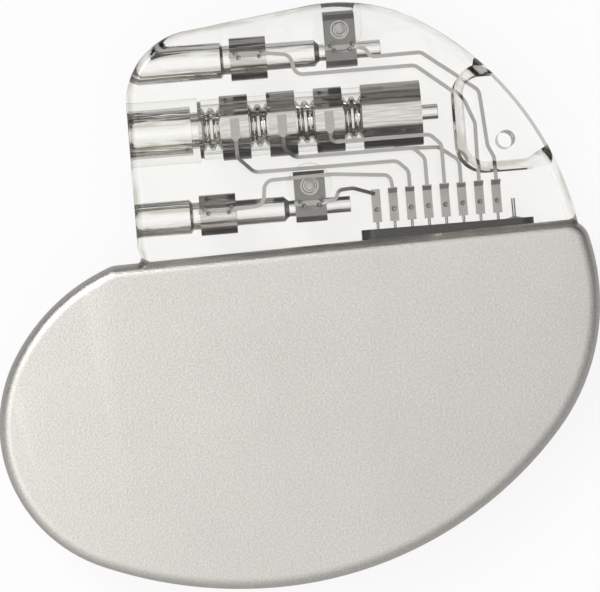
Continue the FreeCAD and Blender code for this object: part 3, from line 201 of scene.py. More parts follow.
def scaled_colour(group, colour, share):
    scaled = add_node(group, "ShaderNodeVectorMath", operation="SCALE")
    join(group, colour, scaled.inputs[0])
    join(group, share, scaled.inputs["Scale"])
    return scaled.outputs[0]


def bumped(group, height, distance, strength):
    """The normal of a face with a raised pattern."""
    bump = add_node(group, "ShaderNodeBump")
    join(group, height, bump.inputs["Height"])
    feed(group, distance, bump.inputs["Distance"])
    join(group, strength, bump.inputs["Strength"])
    return bump.outputs["Normal"]


# %% [markdown]
# The can is titanium, blasted with fine beads. Up close that is a skin of tiny shallow dents,
# which scatter the light and leave a faint speckle. One node group makes such a grain from
# noise: it gives a colour that varies a little, a roughness and a normal. Other matte metals
# use the same group with a finer or coarser grain.

# %% Grain of a blasted or etched metal
FLOAT = "NodeSocketFloat"
COLOR = "NodeSocketColor"
VECTOR = "NodeSocketVector"
CLOUDS_PER_METRE = 140

blasted_grain, start, end = new_group(
    "blasted grain",
    [
        ("Place", VECTOR, None),
        ("Colour", COLOR, (0.6, 0.6, 0.6, 1)),
        ("Grain size", FLOAT, 0.2 * MM),
        ("Squeeze", VECTOR, (1, 1, 1)),
        ("Speckle", FLOAT, 0.1),
        ("Cloud", FLOAT, 0.05),
        ("Roughness", FLOAT, 0.4),
        ("Dent", FLOAT, 0.3),
        ("Relief", FLOAT, 0.01 * MM),
    ],
    [("Colour", COLOR), ("Roughness", FLOAT), ("Normal", VECTOR)],
)
grains = squeezed_noise(
    blasted_grain, start.outputs["Place"], start.outputs["Squeeze"], start.outputs["Grain size"],
    Detail=3, Roughness=0.6)
clouds = add_node(blasted_grain, "ShaderNodeTexNoise", Scale=CLOUDS_PER_METRE, Detail=2)
join(blasted_grain, start.outputs["Place"], clouds.inputs["Vector"])
speckle = swing(blasted_grain, grains, start.outputs["Speckle"])
cloud = swing(blasted_grain, clouds.outputs["Fac"], start.outputs["Cloud"])
share = math_node(blasted_grain, "MULTIPLY", speckle, cloud)
tinted = scaled_colour(blasted_grain, start.outputs["Colour"], share)
rough = math_node(blasted_grain, "MULTIPLY", start.outputs["Roughness"], speckle)
dented = bumped(blasted_grain, grains, start.outputs["Relief"], start.outputs["Dent"])
join(blasted_grain, tinted, end.inputs["Colour"])
join(blasted_grain, rough, end.inputs["Roughness"])
join(blasted_grain, dented, end.inputs["Normal"])
print("sockets of the grain group:", len(blasted_grain.interface.items_tree))

# %% [markdown]
# The contact blocks are cut from drawn bar, turned and polished. Such metal keeps fine lines,
# so the second group stretches its noise. Turned parts have marks that are narrow along X,
# the axis of the lathe. Drawn ones have them the other way, long along X. The marks move the
# colour, the roughness and the normal. The group also paints shade into the colour of what
# isn't level, most of all on the flank toward the can: a painted reflection of the dark gap
# round the contacts. It knows a flank by the parts of its normal along Y and Z.

# %% Helpers for directions
def separate(tree, vector):
    """The X, Y and Z of a vector, as sockets."""
    axes = add_node(tree, "ShaderNodeSeparateXYZ")
    join(tree, vector, axes.inputs[0])
    return axes.outputs


def map_range(tree, value, start, stop, low=0.0, high=1.0, smooth=False):
    """Spread a value that goes from start to stop over the way from low to high."""
    spread = add_node(tree, "ShaderNodeMapRange")
    if smooth:
        spread.interpolation_type = "SMOOTHSTEP"
    feed(tree, value, spread.inputs["Value"])
    feed(tree, start, spread.inputs["From Min"])
    feed(tree, stop, spread.inputs["From Max"])
    feed(tree, low, spread.inputs["To Min"])
    feed(tree, high, spread.inputs["To Max"])
    return spread.outputs[0]


# %% Marks of a turned face, and painted shade on its flanks
# The colour is darkened on flanks that lean from the level face, and most on the flank toward the
# can: painted shade, standing in for a reflection of the dark gap.
AWAY_FROM_CAN = 0.6
TO_CAN = -0.8
STEEP_FLANK = 0.6
LEVEL_FACE = 0.92
LEFT_ON_FAR_FLANK = 0.75
RIDGE_HEIGHT = 0.012 * MM

marks_and_flank_shade, start, end = new_group(
    "turned marks and painted flank shade",
    [
        ("Place", VECTOR, None),
        ("Colour", COLOR, (0.5, 0.5, 0.5, 1)),
        ("Mark width", FLOAT, 0.06 * MM),
        ("Squeeze", VECTOR, (1.0, 0.04, 0.04)),
        ("Streak", FLOAT, 0.15),
        ("Roughness", FLOAT, 0.15),
        ("Depth", FLOAT, 0.1),
        ("Flank", FLOAT, 1.0),
    ],
    [("Colour", COLOR), ("Roughness", FLOAT), ("Normal", VECTOR)],
)
marks = squeezed_noise(
    marks_and_flank_shade, start.outputs["Place"], start.outputs["Squeeze"], start.outputs["Mark width"],
    Detail=2)
streak = swing(marks_and_flank_shade, marks, start.outputs["Streak"])
surface = add_node(marks_and_flank_shade, "ShaderNodeNewGeometry")
facing = separate(marks_and_flank_shade, surface.outputs["Normal"])
# Painted shade: the share of colour left on a flank, least on the side toward the can.
flank = map_range(
    marks_and_flank_shade, facing["Y"], AWAY_FROM_CAN, TO_CAN, LEFT_ON_FAR_FLANK, start.outputs["Flank"])
level = map_range(marks_and_flank_shade, facing["Z"], STEEP_FLANK, LEVEL_FACE, low=flank, smooth=True)
share = math_node(marks_and_flank_shade, "MULTIPLY", streak, level)
tinted = scaled_colour(marks_and_flank_shade, start.outputs["Colour"], share)
rough = math_node(marks_and_flank_shade, "MULTIPLY", start.outputs["Roughness"], streak)
ridged = bumped(marks_and_flank_shade, marks, RIDGE_HEIGHT, start.outputs["Depth"])
join(marks_and_flank_shade, tinted, end.inputs["Colour"])
join(marks_and_flank_shade, rough, end.inputs["Roughness"])
join(marks_and_flank_shade, ridged, end.inputs["Normal"])
print("sockets of the turning group:", len(marks_and_flank_shade.interface.items_tree))


# %% [markdown]
# With the two groups, each metal, moulding and ceramic of the device is a few lines. The
# first value is the colour as light reflects it, in linear numbers, so 0.6 looks light grey.

# %% Metals, plastics and ceramics
SHADER_INPUT = {"Colour": "Base Color", "Roughness": "Roughness", "Normal": "Normal"}


def dress(tree, group, shader):
    """Join each output of a placed group to its own input of the shader."""
    for output in group.outputs:
        join(tree, output, shader.inputs[SHADER_INPUT[output.name]])


def grained(name, colour, metallic, roughness, size=0.2, speckle=0.1, cloud=0.05, dent=0.3,
            squeeze=(1, 1, 1), relief=0.01):
    """A matte metal, plastic or ceramic. Its size and relief are in millimetres."""
    material, tree, shader = new_material(name)
    group = place_group(
        tree, blasted_grain, Colour=colour + (1,), Grain_size=size * MM, Speckle=speckle,
        Cloud=cloud, Roughness=roughness, Dent=dent, Squeeze=squeeze, Relief=relief * MM)
    dress(tree, group, shader)
    shader.inputs["Metallic"].default_value = metallic
    return material


# The flank value is the share of colour left on the flank toward the can, a painted shade.
def turned(name, colour, roughness, width=0.06, streak=0.2, depth=0.1, squeeze=(1, 0.04, 0.04),
           flank=1.0):
    """A turned or drawn metal. The width of its marks is in millimetres."""
    material, tree, shader = new_material(name)
    group = place_group(
        tree, marks_and_flank_shade, Colour=colour + (1,), Mark_width=width * MM, Streak=streak,
        Roughness=roughness, Depth=depth, Squeeze=squeeze, Flank=flank)
    dress(tree, group, shader)
    shader.inputs["Metallic"].default_value = 1
    return material


FINISHES = {
    "can_titanium": grained(
        "can titanium", (0.62, 0.60, 0.565), metallic=1, roughness=0.38, speckle=0.5,
        cloud=0.08, dent=1.0, squeeze=(0.75, 1, 1), relief=0.03),
    # The contact steel keeps only 0.15 of its colour on the flank toward the can: painted shade.
    "contact_steel": turned(
        "contact steel", (0.64, 0.62, 0.58), roughness=0.10, width=0.16, streak=1.0,
        depth=0.6, squeeze=(0.05, 1, 1), flank=0.15),
    "clamp_steel": grained(
        "clamp steel", (0.22, 0.215, 0.205), metallic=1, roughness=0.34, size=0.12,
        speckle=0.8, cloud=0.3, dent=0.8),
    "screw_steel": turned("screw steel", (0.5, 0.5, 0.49), roughness=0.22, width=0.04),
    "ribbon_metal": grained(
        "ribbon metal", (0.40, 0.385, 0.36), metallic=1, roughness=0.34, size=0.12,
        speckle=0.4, cloud=0.2, dent=0.4),
    # The flange is titanium, but its colour is set near black: painted shade, for the dark band of
    # shadow and dark reflection along the top of the can.
    "flange_titanium": turned(
        "flange titanium painted dark", (0.06, 0.058, 0.054), roughness=0.25, width=0.2),
    "feedthrough_ceramic": grained(
        "feedthrough ceramic", (0.8, 0.78, 0.72), metallic=0, roughness=0.35, size=0.1,
        speckle=0.05),
    "pin_metal": turned("pin metal", (0.62, 0.62, 0.6), roughness=0.25),
    "battery_steel": turned("battery steel", (0.6, 0.6, 0.6), roughness=0.3, width=0.3),
    "sealing_glass": grained("sealing glass", (0.05, 0.12, 0.2), metallic=0, roughness=0.1),
    "frame_plastic": grained(
        "frame plastic", (0.72, 0.69, 0.6), metallic=0, roughness=0.5, speckle=0.05),
    "board_laminate": grained(
        "board laminate", (0.03, 0.16, 0.07), metallic=0, roughness=0.35, size=0.3),
    "chip_plastic": grained(
        "chip plastic", (0.02, 0.02, 0.022), metallic=0, roughness=0.55, size=0.1, speckle=0.2),
    "capacitor_body": grained(
        "capacitor body", (0.6, 0.38, 0.08), metallic=0, roughness=0.5, size=0.1),
    "crystal_can": turned("crystal can", (0.65, 0.65, 0.64), roughness=0.25),
    "ferrite": grained(
        "ferrite", (0.04, 0.036, 0.036), metallic=0, roughness=0.6, size=0.1, speckle=0.3),
    "copper_wire": turned("copper wire", (0.7, 0.3, 0.14), roughness=0.3, width=0.12),
}
print("finishes:", len(FINISHES))

# %% [markdown]
# The header is cast from clear epoxy. Its flat faces are polished, but the steep walls of a
# casting keep faint waves from the mould. A third group bends the normal there, and paints
# shade on those walls: it darkens the colour in streaks, by how far a wall leans from the flat.

# %% Waves and painted shade on the walls of a casting
FLAT_FACE = 0.97
STEEP_WALL = 0.7
STREAK_START = 0.4
STREAK_STOP = 0.58
LEAST_WALL_SHADE = 0.25
LAYERS = (0.25, 0.25, 1)

waves_and_wall_shade, start, end = new_group(
    "casting waves and painted wall shade",
    [
        ("Place", VECTOR, None),
        ("Colour", COLOR, (1, 1, 1, 1)),
        ("Wall colour", COLOR, (0.8, 0.78, 0.72, 1)),
        ("Wave size", FLOAT, 0.8 * MM),
        ("Height", FLOAT, 0.05 * MM),
    ],
    [("Colour", COLOR), ("Normal", VECTOR)],
)
waves = squeezed_noise(
    waves_and_wall_shade, start.outputs["Place"], LAYERS, start.outputs["Wave size"], Detail=1)
surface = add_node(waves_and_wall_shade, "ShaderNodeNewGeometry")
facing = separate(waves_and_wall_shade, surface.outputs["True Normal"])
flatness = math_node(waves_and_wall_shade, "ABSOLUTE", facing["Z"])
steepness = map_range(waves_and_wall_shade, flatness, FLAT_FACE, STEEP_WALL)
wavy = bumped(waves_and_wall_shade, waves, start.outputs["Height"], steepness)
# Painted shade: in streaks, steep walls take the darker wall colour.
streaks = map_range(waves_and_wall_shade, waves, STREAK_START, STREAK_STOP, low=LEAST_WALL_SHADE)
painted_wall_shade = math_node(waves_and_wall_shade, "MULTIPLY", streaks, steepness)
tint = add_node(waves_and_wall_shade, "ShaderNodeMix", data_type="RGBA")
join(waves_and_wall_shade, painted_wall_shade, tint.inputs[0])
join(waves_and_wall_shade, start.outputs["Colour"], tint.inputs[6])
join(waves_and_wall_shade, start.outputs["Wall colour"], tint.inputs[7])
join(waves_and_wall_shade, tint.outputs[2], end.inputs["Colour"])
join(waves_and_wall_shade, wavy, end.inputs["Normal"])
print("sockets of the wave group:", len(waves_and_wall_shade.interface.items_tree))

# %% [markdown]
# To the eye the epoxy is glass: a smooth face, an index of about 1.5 and a very faint yellow
# that only shows along its edges, where light has come a long way through it. The yellow is
# in the volume, so it grows with the length of the path. Light from lamps is let straight
# through, because glass would else cast a black shadow.

# %% Clear epoxy and silicone
def mix_shaders(tree, share, first, second):
    """Blend a first shader with a share of a second one."""
    blend = add_node(tree, "ShaderNodeMixShader")
    join(tree, share, blend.inputs["Fac"])
    join(tree, first.outputs[0], blend.inputs[1])
    join(tree, second.outputs[0], blend.inputs[2])
    return blend


# The wall colour is a painted shade that steep walls take in streaks.
def clear(name, colour, index, roughness, tint, density, wave=0.02, wall=(0.95, 0.95, 0.94)):
    """A clear material with a tinted volume. The height of its waves is in millimetres."""
    material, tree, shader = new_material(name)
    waves = place_group(
        tree, waves_and_wall_shade, Height=wave * MM, Colour=colour + (1,), Wall_colour=wall + (1,))
    dress(tree, waves, shader)
    shader.inputs["Roughness"].default_value = roughness
    shader.inputs["IOR"].default_value = index
    shader.inputs["Transmission Weight"].default_value = 1
    ray = add_node(tree, "ShaderNodeLightPath")
    passing = add_node(tree, "ShaderNodeBsdfTransparent", Color=colour + (1,))
    choice = mix_shaders(tree, ray.outputs["Is Shadow Ray"], shader, passing)
    body = add_node(tree, "ShaderNodeVolumeAbsorption", Color=tint + (1,), Density=density)
    output = tree.nodes["Material Output"]
    join(tree, choice.outputs[0], output.inputs["Surface"])
    join(tree, body.outputs[0], output.inputs["Volume"])
    return material


SILICONE = {
    "colour": (0.97, 0.97, 0.96), "roughness": 0.02, "tint": (0.9, 0.9, 0.86), "density": 60}
# The epoxy's steep walls are painted about half as bright as its flat faces: painted shade.
FINISHES["header_epoxy"] = clear(
    "clear epoxy", (1.0, 1.0, 0.995), index=1.5, roughness=0.0, tint=(0.88, 0.868, 0.81),
    density=50, wave=0.06, wall=(0.5, 0.48, 0.4))
FINISHES["silicone"] = clear("clear silicone", index=1.10, **SILICONE)
FINISHES["clear_spacer"] = clear(
    "clear moulding", (1.0, 1.0, 0.99), index=1.05, roughness=0.0, tint=(0.9, 0.9, 0.8),
    density=20)
print("finishes with the clear ones:", len(FINISHES))


# %% [markdown]
# Every piece of the model gets the finish that its record names.

# %% Finish of each piece of the model
SLOT_OF = {row["node"]: row["material_slot"] for row in frame["record"]["subparts"]}

for name, piece in NODES.items():
    piece.data.materials.clear()
    piece.data.materials.append(FINISHES[SLOT_OF[name]])
print("finished pieces:", len(NODES))

# %% [markdown]
# Next come the clear pieces. The model's own solids share a wall wherever two of them touch,
# and two walls in one place confuse a renderer. A cast header has no air between its clear
# pieces, so here they become one body of plastic: walls that touch are pushed a hair into
# the neighbour, and the solids are joined. The helpers for that come first. A copy of a
# model piece is merged and shaded smooth, with its real edges kept sharp.


# %% Helpers for meshes
SHARP_EDGE = math.radians(28)
MERGE_DISTANCE = 0.0005 * MM
SAME_WAY = 0.95


def mesh_object(name, mesh, material):
    piece = bpy.data.objects.new(name, mesh)
    bpy.context.scene.collection.objects.link(piece)
    mesh.materials.clear()
    mesh.materials.append(material)
    return piece


def merged_copy(node):
    """A closed copy of a model piece, with its loose triangles joined."""
    copy = bmesh.new()
    copy.from_mesh(NODES[node].data)
    bmesh.ops.remove_doubles(copy, verts=copy.verts, dist=MERGE_DISTANCE)
    return copy


def shade(shape):
    """Shade a shape smooth, apart from its sharp edges."""
    for face in shape.faces:
        face.smooth = True
    for edge in shape.edges:
        edge.smooth = edge.calc_face_angle(0) < SHARP_EDGE


def plain_mesh(name, shape):
    """Keep a shape as a mesh."""
    mesh = bpy.data.meshes.new(name)
    shape.to_mesh(mesh)
    shape.free()
    return mesh


def finished_mesh(name, shape):
    """Keep a shape as a mesh, once it is shaded."""
    shape.normal_update()
    shade(shape)
    return plain_mesh(name, shape)


def applied(piece):
    """The mesh that a piece has with its modifiers, which are then removed."""
    ready = bpy.context.evaluated_depsgraph_get()
    mesh = bpy.data.meshes.new_from_object(piece.evaluated_get(ready), depsgraph=ready)
    piece.modifiers.clear()
    return mesh


def shift_faces(faces, distance):
    """Move faces along their normals, and keep the corners between them."""
    pushed = {}
    for face in faces:
        for vertex in face.verts:
            pushed.setdefault(vertex, []).append(face.normal.copy())
    for vertex, normals in pushed.items():
        kept = []
        for normal in normals:
            if all(normal.dot(other) < SAME_WAY for other in kept):
                kept.append(normal)
        step = Vector()
        for normal in kept:
            step += normal * (distance - step.dot(normal))
        vertex.co += step
    return len(pushed)


# %% [markdown]
# Two walls touch where their faces lie within a fiftieth of a millimetre of each other and
# look opposite ways. A search tree finds the nearest wall to each face.

# %% Walls that touch
TOUCHING = 0.02 * MM
FACE_TO_FACE = -0.9
PUSH = 0.03 * MM


def walls_of(names):
    """A search tree over the faces of several model pieces."""
    points = []
    faces = []
    for name in names:
        mesh = NODES[name].data
        offset = len(points)
        points.extend(vertex.co.copy() for vertex in mesh.vertices)
        faces.extend([offset + corner for corner in face.vertices] for face in mesh.polygons)
    return BVHTree.FromPolygons(points, faces)


def touching_faces(shape, walls):
    """The faces of a shape that lie against given walls."""
    shape.normal_update()
    chosen = []
    for face in shape.faces:
        _, normal, _, distance = walls.find_nearest(face.calc_center_median())
        if normal and distance < TOUCHING and face.normal.dot(normal) < FACE_TO_FACE:
            chosen.append(face)
    return chosen


def nodes_with(*slots):
    """The model pieces that have one of these finishes."""
    return [node for node, slot in SLOT_OF.items() if slot in slots]


CLEAR_INSERTS = nodes_with("silicone", "clear_spacer")
METALS = nodes_with(
    "contact_steel", "clamp_steel", "ribbon_metal", "screw_steel", "pin_metal",
    "flange_titanium", "can_titanium")
print("clear inserts:", len(CLEAR_INSERTS), "metal pieces:", len(METALS))

# %% [markdown]
# The seals, spacers, sleeve and septa are pushed into the header and into each other, and
# one exact union makes the casting. Last, its walls go a hair into the metal, so light meets
# the metal straight from the plastic. The bores of the ports stay open, full of air, and
# that is what makes them show.

# %% One clear casting
spare = bpy.data.collections.new("clear inserts")
bpy.context.scene.collection.children.link(spare)
for name in CLEAR_INSERTS:
    insert = merged_copy(name)
    neighbours = ["header_body"] + [other for other in CLEAR_INSERTS if other != name]
    shift_faces(touching_faces(insert, walls_of(neighbours)), PUSH)
    mesh = plain_mesh("insert " + name, insert)
    spare.objects.link(bpy.data.objects.new("insert " + name, mesh))

body_mesh = plain_mesh("clear_header", merged_copy("header_body"))
header = mesh_object("clear_header", body_mesh, FINISHES["header_epoxy"])
union = header.modifiers.new("union", "BOOLEAN")
union.operation = "UNION"
union.solver = "EXACT"
union.operand_type = "COLLECTION"
union.collection = spare
joined = applied(header)
for thing in list(spare.objects):
    bpy.data.objects.remove(thing)
bpy.data.collections.remove(spare)

casting = bmesh.new()
casting.from_mesh(joined)
bmesh.ops.remove_doubles(casting, verts=casting.verts, dist=MERGE_DISTANCE)
moved = shift_faces(touching_faces(casting, walls_of(METALS)), PUSH)
print("casting faces:", len(casting.faces))
print("open edges:", sum(edge.is_boundary for edge in casting.edges))
print("corners pushed into metal:", moved)
header.data = finished_mesh("clear_header", casting)
header.data.materials.append(FINISHES["header_epoxy"])
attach(header, "root")
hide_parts("header_body")

# %% [markdown]
# Inside the casting, each insert is still there as a slightly smaller body. Its index is the
# share by which it differs from the epoxy around it, so only a faint edge shows, as on a
# real silicone plug in clear plastic.

# %% Inserts inside the casting
INSET = 0.03 * MM


def stand_in(node, inset=0.0):
    """A smooth copy of a model piece that takes its place."""
    name = "smooth_" + node
    slot = SLOT_OF[node]
    shape = merged_copy(node)
    if inset:
        shape.normal_update()
        shift_faces(shape.faces, -inset)
    piece = mesh_object(name, finished_mesh(name, shape), FINISHES[slot])
    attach(piece, "root")
    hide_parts(node)
    return piece


inserts = [stand_in(name, INSET) for name in CLEAR_INSERTS]
print("inserts:", len(inserts))

# %% [markdown]
# A polished cylinder shows every flat of its mesh in its reflections. The contact rings,
# the blocks and the shells of the can are therefore shown by smooth copies, which have the
# same corners but are shaded as the curves that they stand for.

# %% Smooth copies of the metal that shows
SHOWN_METALS = nodes_with("contact_steel", "clamp_steel") + ["front_shell", "back_shell"]
polished = [stand_in(name) for name in SHOWN_METALS]
print("smooth metal pieces:", len(polished))

# %% [markdown]
# The rest of the small parts repeat, so Geometry Nodes make them. A helper runs a tree on a
# mesh and keeps the result as a plain mesh. The trees share the others: one starts a tree
# with named inputs, one sweeps a round bar along a curve, and one sets a shape on every
# point and ends the tree with Realize Instances and Set Material.


# %% Helpers for geometry trees
GEOMETRY = "NodeSocketGeometry"
INTEGER = "NodeSocketInt"
MATERIAL = "NodeSocketMaterial"
GROWN_MERGE = 0.0002 * MM


def new_growth(name, inputs):
    """Start a geometry tree that gets points, named sizes and a material."""
    tree = bpy.data.node_groups.new(name, "GeometryNodeTree")
    tree.interface.new_socket(name="Points", in_out="INPUT", socket_type=GEOMETRY)
    for label, kind, value in inputs:
        socket = tree.interface.new_socket(name=label, in_out="INPUT", socket_type=kind)
        socket.default_value = value
    tree.interface.new_socket(name="Finish", in_out="INPUT", socket_type=MATERIAL)
    tree.interface.new_socket(name="Result", in_out="OUTPUT", socket_type=GEOMETRY)
    return tree, tree.nodes.new("NodeGroupInput"), tree.nodes.new("NodeGroupOutput")


def end_growth(tree, start, end, shape):
    """Set a shape on each point, make the copies real, and give them the finish."""
    copies = tree.nodes.new("GeometryNodeInstanceOnPoints")
    join(tree, start.outputs["Points"], copies.inputs["Points"])
    join(tree, shape, copies.inputs["Instance"])
    real = tree.nodes.new("GeometryNodeRealizeInstances")
    join(tree, copies.outputs["Instances"], real.inputs["Geometry"])
    finish = tree.nodes.new("GeometryNodeSetMaterial")
    join(tree, real.outputs["Geometry"], finish.inputs["Geometry"])
    join(tree, start.outputs["Finish"], finish.inputs["Material"])
    join(tree, finish.outputs["Geometry"], end.inputs["Result"])


def combine(tree, x, y, z):
    """A vector from three sockets."""
    vector = tree.nodes.new("ShaderNodeCombineXYZ")
    for socket, value in zip(vector.inputs, (x, y, z)):
        join(tree, value, socket)
    return vector.outputs[0]


def round_bar(tree, path, radius, sides):
    """A bar of a round section along a curve."""
    section = add_node(tree, "GeometryNodeCurvePrimitiveCircle", Resolution=sides)
    join(tree, radius, section.inputs["Radius"])
    bar = tree.nodes.new("GeometryNodeCurveToMesh")
    join(tree, path, bar.inputs["Curve"])
    join(tree, section.outputs["Curve"], bar.inputs["Profile Curve"])
    return bar.outputs["Mesh"]


def grow(name, points, tree, slot, replaced=(), **sizes):
    """Run a tree on points, keep the result as a plain piece, and let it ride."""
    seeds = bpy.data.meshes.new(name)
    seeds.from_pydata([tuple(point) for point in points], [], [])
    piece = bpy.data.objects.new(name, seeds)
    bpy.context.scene.collection.objects.link(piece)
    growth = piece.modifiers.new("growth", "NODES")
    growth.node_group = tree
    values = {label.replace("_", " "): value for label, value in sizes.items()}
    values["Finish"] = FINISHES[slot]
    for socket in tree.interface.items_tree:
        if socket.in_out == "INPUT" and socket.name in values:
            growth[socket.identifier] = values[socket.name]
    grown = applied(piece)
    shape = bmesh.new()
    shape.from_mesh(grown)
    bmesh.ops.remove_doubles(shape, verts=shape.verts, dist=GROWN_MERGE)
    bmesh.ops.recalc_face_normals(shape, faces=shape.faces)
    piece.data = finished_mesh(name, shape)
    piece.data.materials.append(FINISHES[slot])
    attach(piece, "root")
    if replaced:
        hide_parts(*replaced)
    print(name, "faces:", len(piece.data.polygons))
    return piece


# %% [markdown]
# Each flat conductor is spot welded to its contact. A laser weld leaves a low round bead
# with a sunken middle. The tree flattens a ball, sinks its middle, and sets it on points.

# %% Tree of a weld bead
BEAD_SIDES = 20
BEAD_RINGS = 10
DIMPLE_FLOOR = 0.35
DIMPLE_SLOPE = 0.9

weld_bead, start, end = new_growth(
    "weld bead", [("Radius", FLOAT, 0.23 * MM), ("Height", FLOAT, 0.1 * MM)])
ball = add_node(
    weld_bead, "GeometryNodeMeshUVSphere", Segments=BEAD_SIDES, Rings=BEAD_RINGS, Radius=1)
place = weld_bead.nodes.new("GeometryNodeInputPosition")
parts = separate(weld_bead, place.outputs[0])
across = math_node(weld_bead, "MULTIPLY", parts["X"], parts["X"])
outward = math_node(weld_bead, "MULTIPLY_ADD", parts["Y"], parts["Y"], across)
dimple = math_node(weld_bead, "MULTIPLY_ADD", outward, DIMPLE_SLOPE, DIMPLE_FLOOR)
tall = math_node(weld_bead, "MULTIPLY", parts["Z"], dimple)
new_place = combine(
    weld_bead,
    math_node(weld_bead, "MULTIPLY", parts["X"], start.outputs["Radius"]),
    math_node(weld_bead, "MULTIPLY", parts["Y"], start.outputs["Radius"]),
    math_node(weld_bead, "MULTIPLY", tall, start.outputs["Height"]),
)
dimpled = weld_bead.nodes.new("GeometryNodeSetPosition")
join(weld_bead, ball.outputs["Mesh"], dimpled.inputs["Geometry"])
join(weld_bead, new_place, dimpled.inputs["Position"])
end_growth(weld_bead, start, end, dimpled.outputs["Geometry"])
print("nodes in the bead tree:", len(weld_bead.nodes))

# %% [markdown]
# The strap over each block has four beads, on its two edges near its ends. Their height is
# found by looking down on the conductor from above. The eight tabs have one bead each, where
# the feedthrough's pins lie under them, so their places along X come from the pins.

# %% Weld beads
STRAP_OFFSET = 0.36 * MM
STRAP_EDGE = 0.24 * MM
STRAP_LAP = 0.1 * MM
HEAD_BEADS = ((0.62 * MM, 1), (0.96 * MM, -1))
TAIL_BEADS = ((0.55 * MM, 1), (0.82 * MM, -1))
TAB_BEAD_RISE = 1.27 * MM
ABOVE = 20 * MM


def islands(node):
    """The lowest and highest corners of each separate solid of a model piece."""
    shape = merged_copy(node)
    waiting = set(shape.verts)
    boxes = []
    while waiting:
        group = [waiting.pop()]
        for vertex in group:
            for edge in vertex.link_edges:
                other = edge.other_vert(vertex)
                if other in waiting:
                    waiting.remove(other)
                    group.append(other)
        low = Vector([min(vertex.co[axis] for vertex in group) for axis in range(3)])
        high = Vector([max(vertex.co[axis] for vertex in group) for axis in range(3)])
        boxes.append((low, high))
    shape.free()
    return sorted(boxes, key=lambda box: box[0].x)


def top_at(x, y, walls):
    """The highest point of some walls at a place, or None where there is no wall."""
    return walls.ray_cast(Vector((x, y, ABOVE)), Vector((0, 0, -1)))[0]


ribbons = walls_of(nodes_with("ribbon_metal"))
axis_of = {}
for port in ("lower", "upper"):
    low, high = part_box(port + "_ring_block")
    axis_of[port] = (low.y + high.y) / 2
strap_beads = []
for port, axis_y in axis_of.items():
    for block in ("_ring_block", "_tip_block"):
        low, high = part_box(port + block)
        middle_y = axis_y + STRAP_OFFSET
        places = [(low.x - STRAP_LAP + inset, side) for inset, side in HEAD_BEADS]
        places += [(high.x + STRAP_LAP - inset, side) for inset, side in TAIL_BEADS]
        for x, side in places:
            top = top_at(x, middle_y, ribbons)
            if top:
                strap_beads.append((x, middle_y + side * STRAP_EDGE, top.z))
tab_beads = []
tab_foot = min(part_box(name)[0].y for name in nodes_with("ribbon_metal") if name != "battery_lead")
for low, high in islands("feedthrough_pins"):
    x = (low.x + high.x) / 2
    top = top_at(x, tab_foot + TAB_BEAD_RISE, ribbons)
    if top:
        tab_beads.append(top)
print("beads on straps:", len(strap_beads), "on tabs:", len(tab_beads))
grow("strap_welds", strap_beads, weld_bead, "clamp_steel", Radius=0.24 * MM, Height=0.3 * MM)
grow("tab_welds", tab_beads, weld_bead, "clamp_steel", Radius=0.26 * MM, Height=0.2 * MM)

# %% [markdown]
# The middle of each septum, where the screwdriver goes in, is ringed by a small collar of
# silicone just under the face. It is a ring on a ring: a small circle that follows a larger
# one, level with the face and set on points.

# %% Tree of a collar
COLLAR_STEPS = 48
COLLAR_SIDES = 16

collar_tree, start, end = new_growth(
    "septum collar", [("Ring radius", FLOAT, 0.6 * MM), ("Bead radius", FLOAT, 0.15 * MM)])
path = add_node(collar_tree, "GeometryNodeCurvePrimitiveCircle", Resolution=COLLAR_STEPS)
join(collar_tree, start.outputs["Ring radius"], path.inputs["Radius"])
bead = round_bar(
    collar_tree, path.outputs["Curve"], start.outputs["Bead radius"], COLLAR_SIDES)
end_growth(collar_tree, start, end, bead)
print("nodes in the collar tree:", len(collar_tree.nodes))

# %% Collars under the face
COLLAR_DEPTH = 0.3 * MM
FINISHES["collar"] = clear("collar silicone", index=1.35, **SILICONE)

header_walls = BVHTree.FromPolygons(
    [vertex.co for vertex in header.data.vertices],
    [face.vertices for face in header.data.polygons])
collar_places = []
for port in ("lower", "upper"):
    low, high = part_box(port + "_set_screw")
    top = top_at((low.x + high.x) / 2, (low.y + high.y) / 2, header_walls)
    collar_places.append(top - Vector((0, 0, COLLAR_DEPTH)))
collars = grow(
    "septum_collars", collar_places, collar_tree, "silicone",
    Ring_radius=0.62 * MM, Bead_radius=0.15 * MM)
collars.data.materials[0] = FINISHES["collar"]

# %% [markdown]
# Inside each contact a spring presses on the lead: a fine coil, bent into a ring. Its line
# is a helix that runs round a circle and closes on itself, and the coils lean over, as they
# do on a canted spring. The ring's size comes from the solid that stands for it.

# %% Tree of a ring spring
STEPS_PER_TURN = 12
WIRE_SIDES = 6

ring_spring, start, end = new_growth("ring spring", [
    ("Ring radius", FLOAT, 1.6 * MM),
    ("Coil radius", FLOAT, 0.2 * MM),
    ("Wire radius", FLOAT, 0.05 * MM),
    ("Turns", INTEGER, 40),
    ("Lean", FLOAT, 0.08),
])
steps = math_node(ring_spring, "MULTIPLY", start.outputs["Turns"], STEPS_PER_TURN)
circle = ring_spring.nodes.new("GeometryNodeMeshCircle")
join(ring_spring, steps, circle.inputs["Vertices"])
line = ring_spring.nodes.new("GeometryNodeMeshToCurve")
join(ring_spring, circle.outputs["Mesh"], line.inputs["Mesh"])
count = ring_spring.nodes.new("GeometryNodeInputIndex")
share = math_node(ring_spring, "DIVIDE", count.outputs[0], steps)
turned_by = math_node(ring_spring, "MULTIPLY", share, 2 * math.pi)
coiled_by = math_node(ring_spring, "MULTIPLY", turned_by, start.outputs["Turns"])
height = math_node(ring_spring, "COSINE", coiled_by)
sideways = math_node(ring_spring, "SINE", coiled_by)
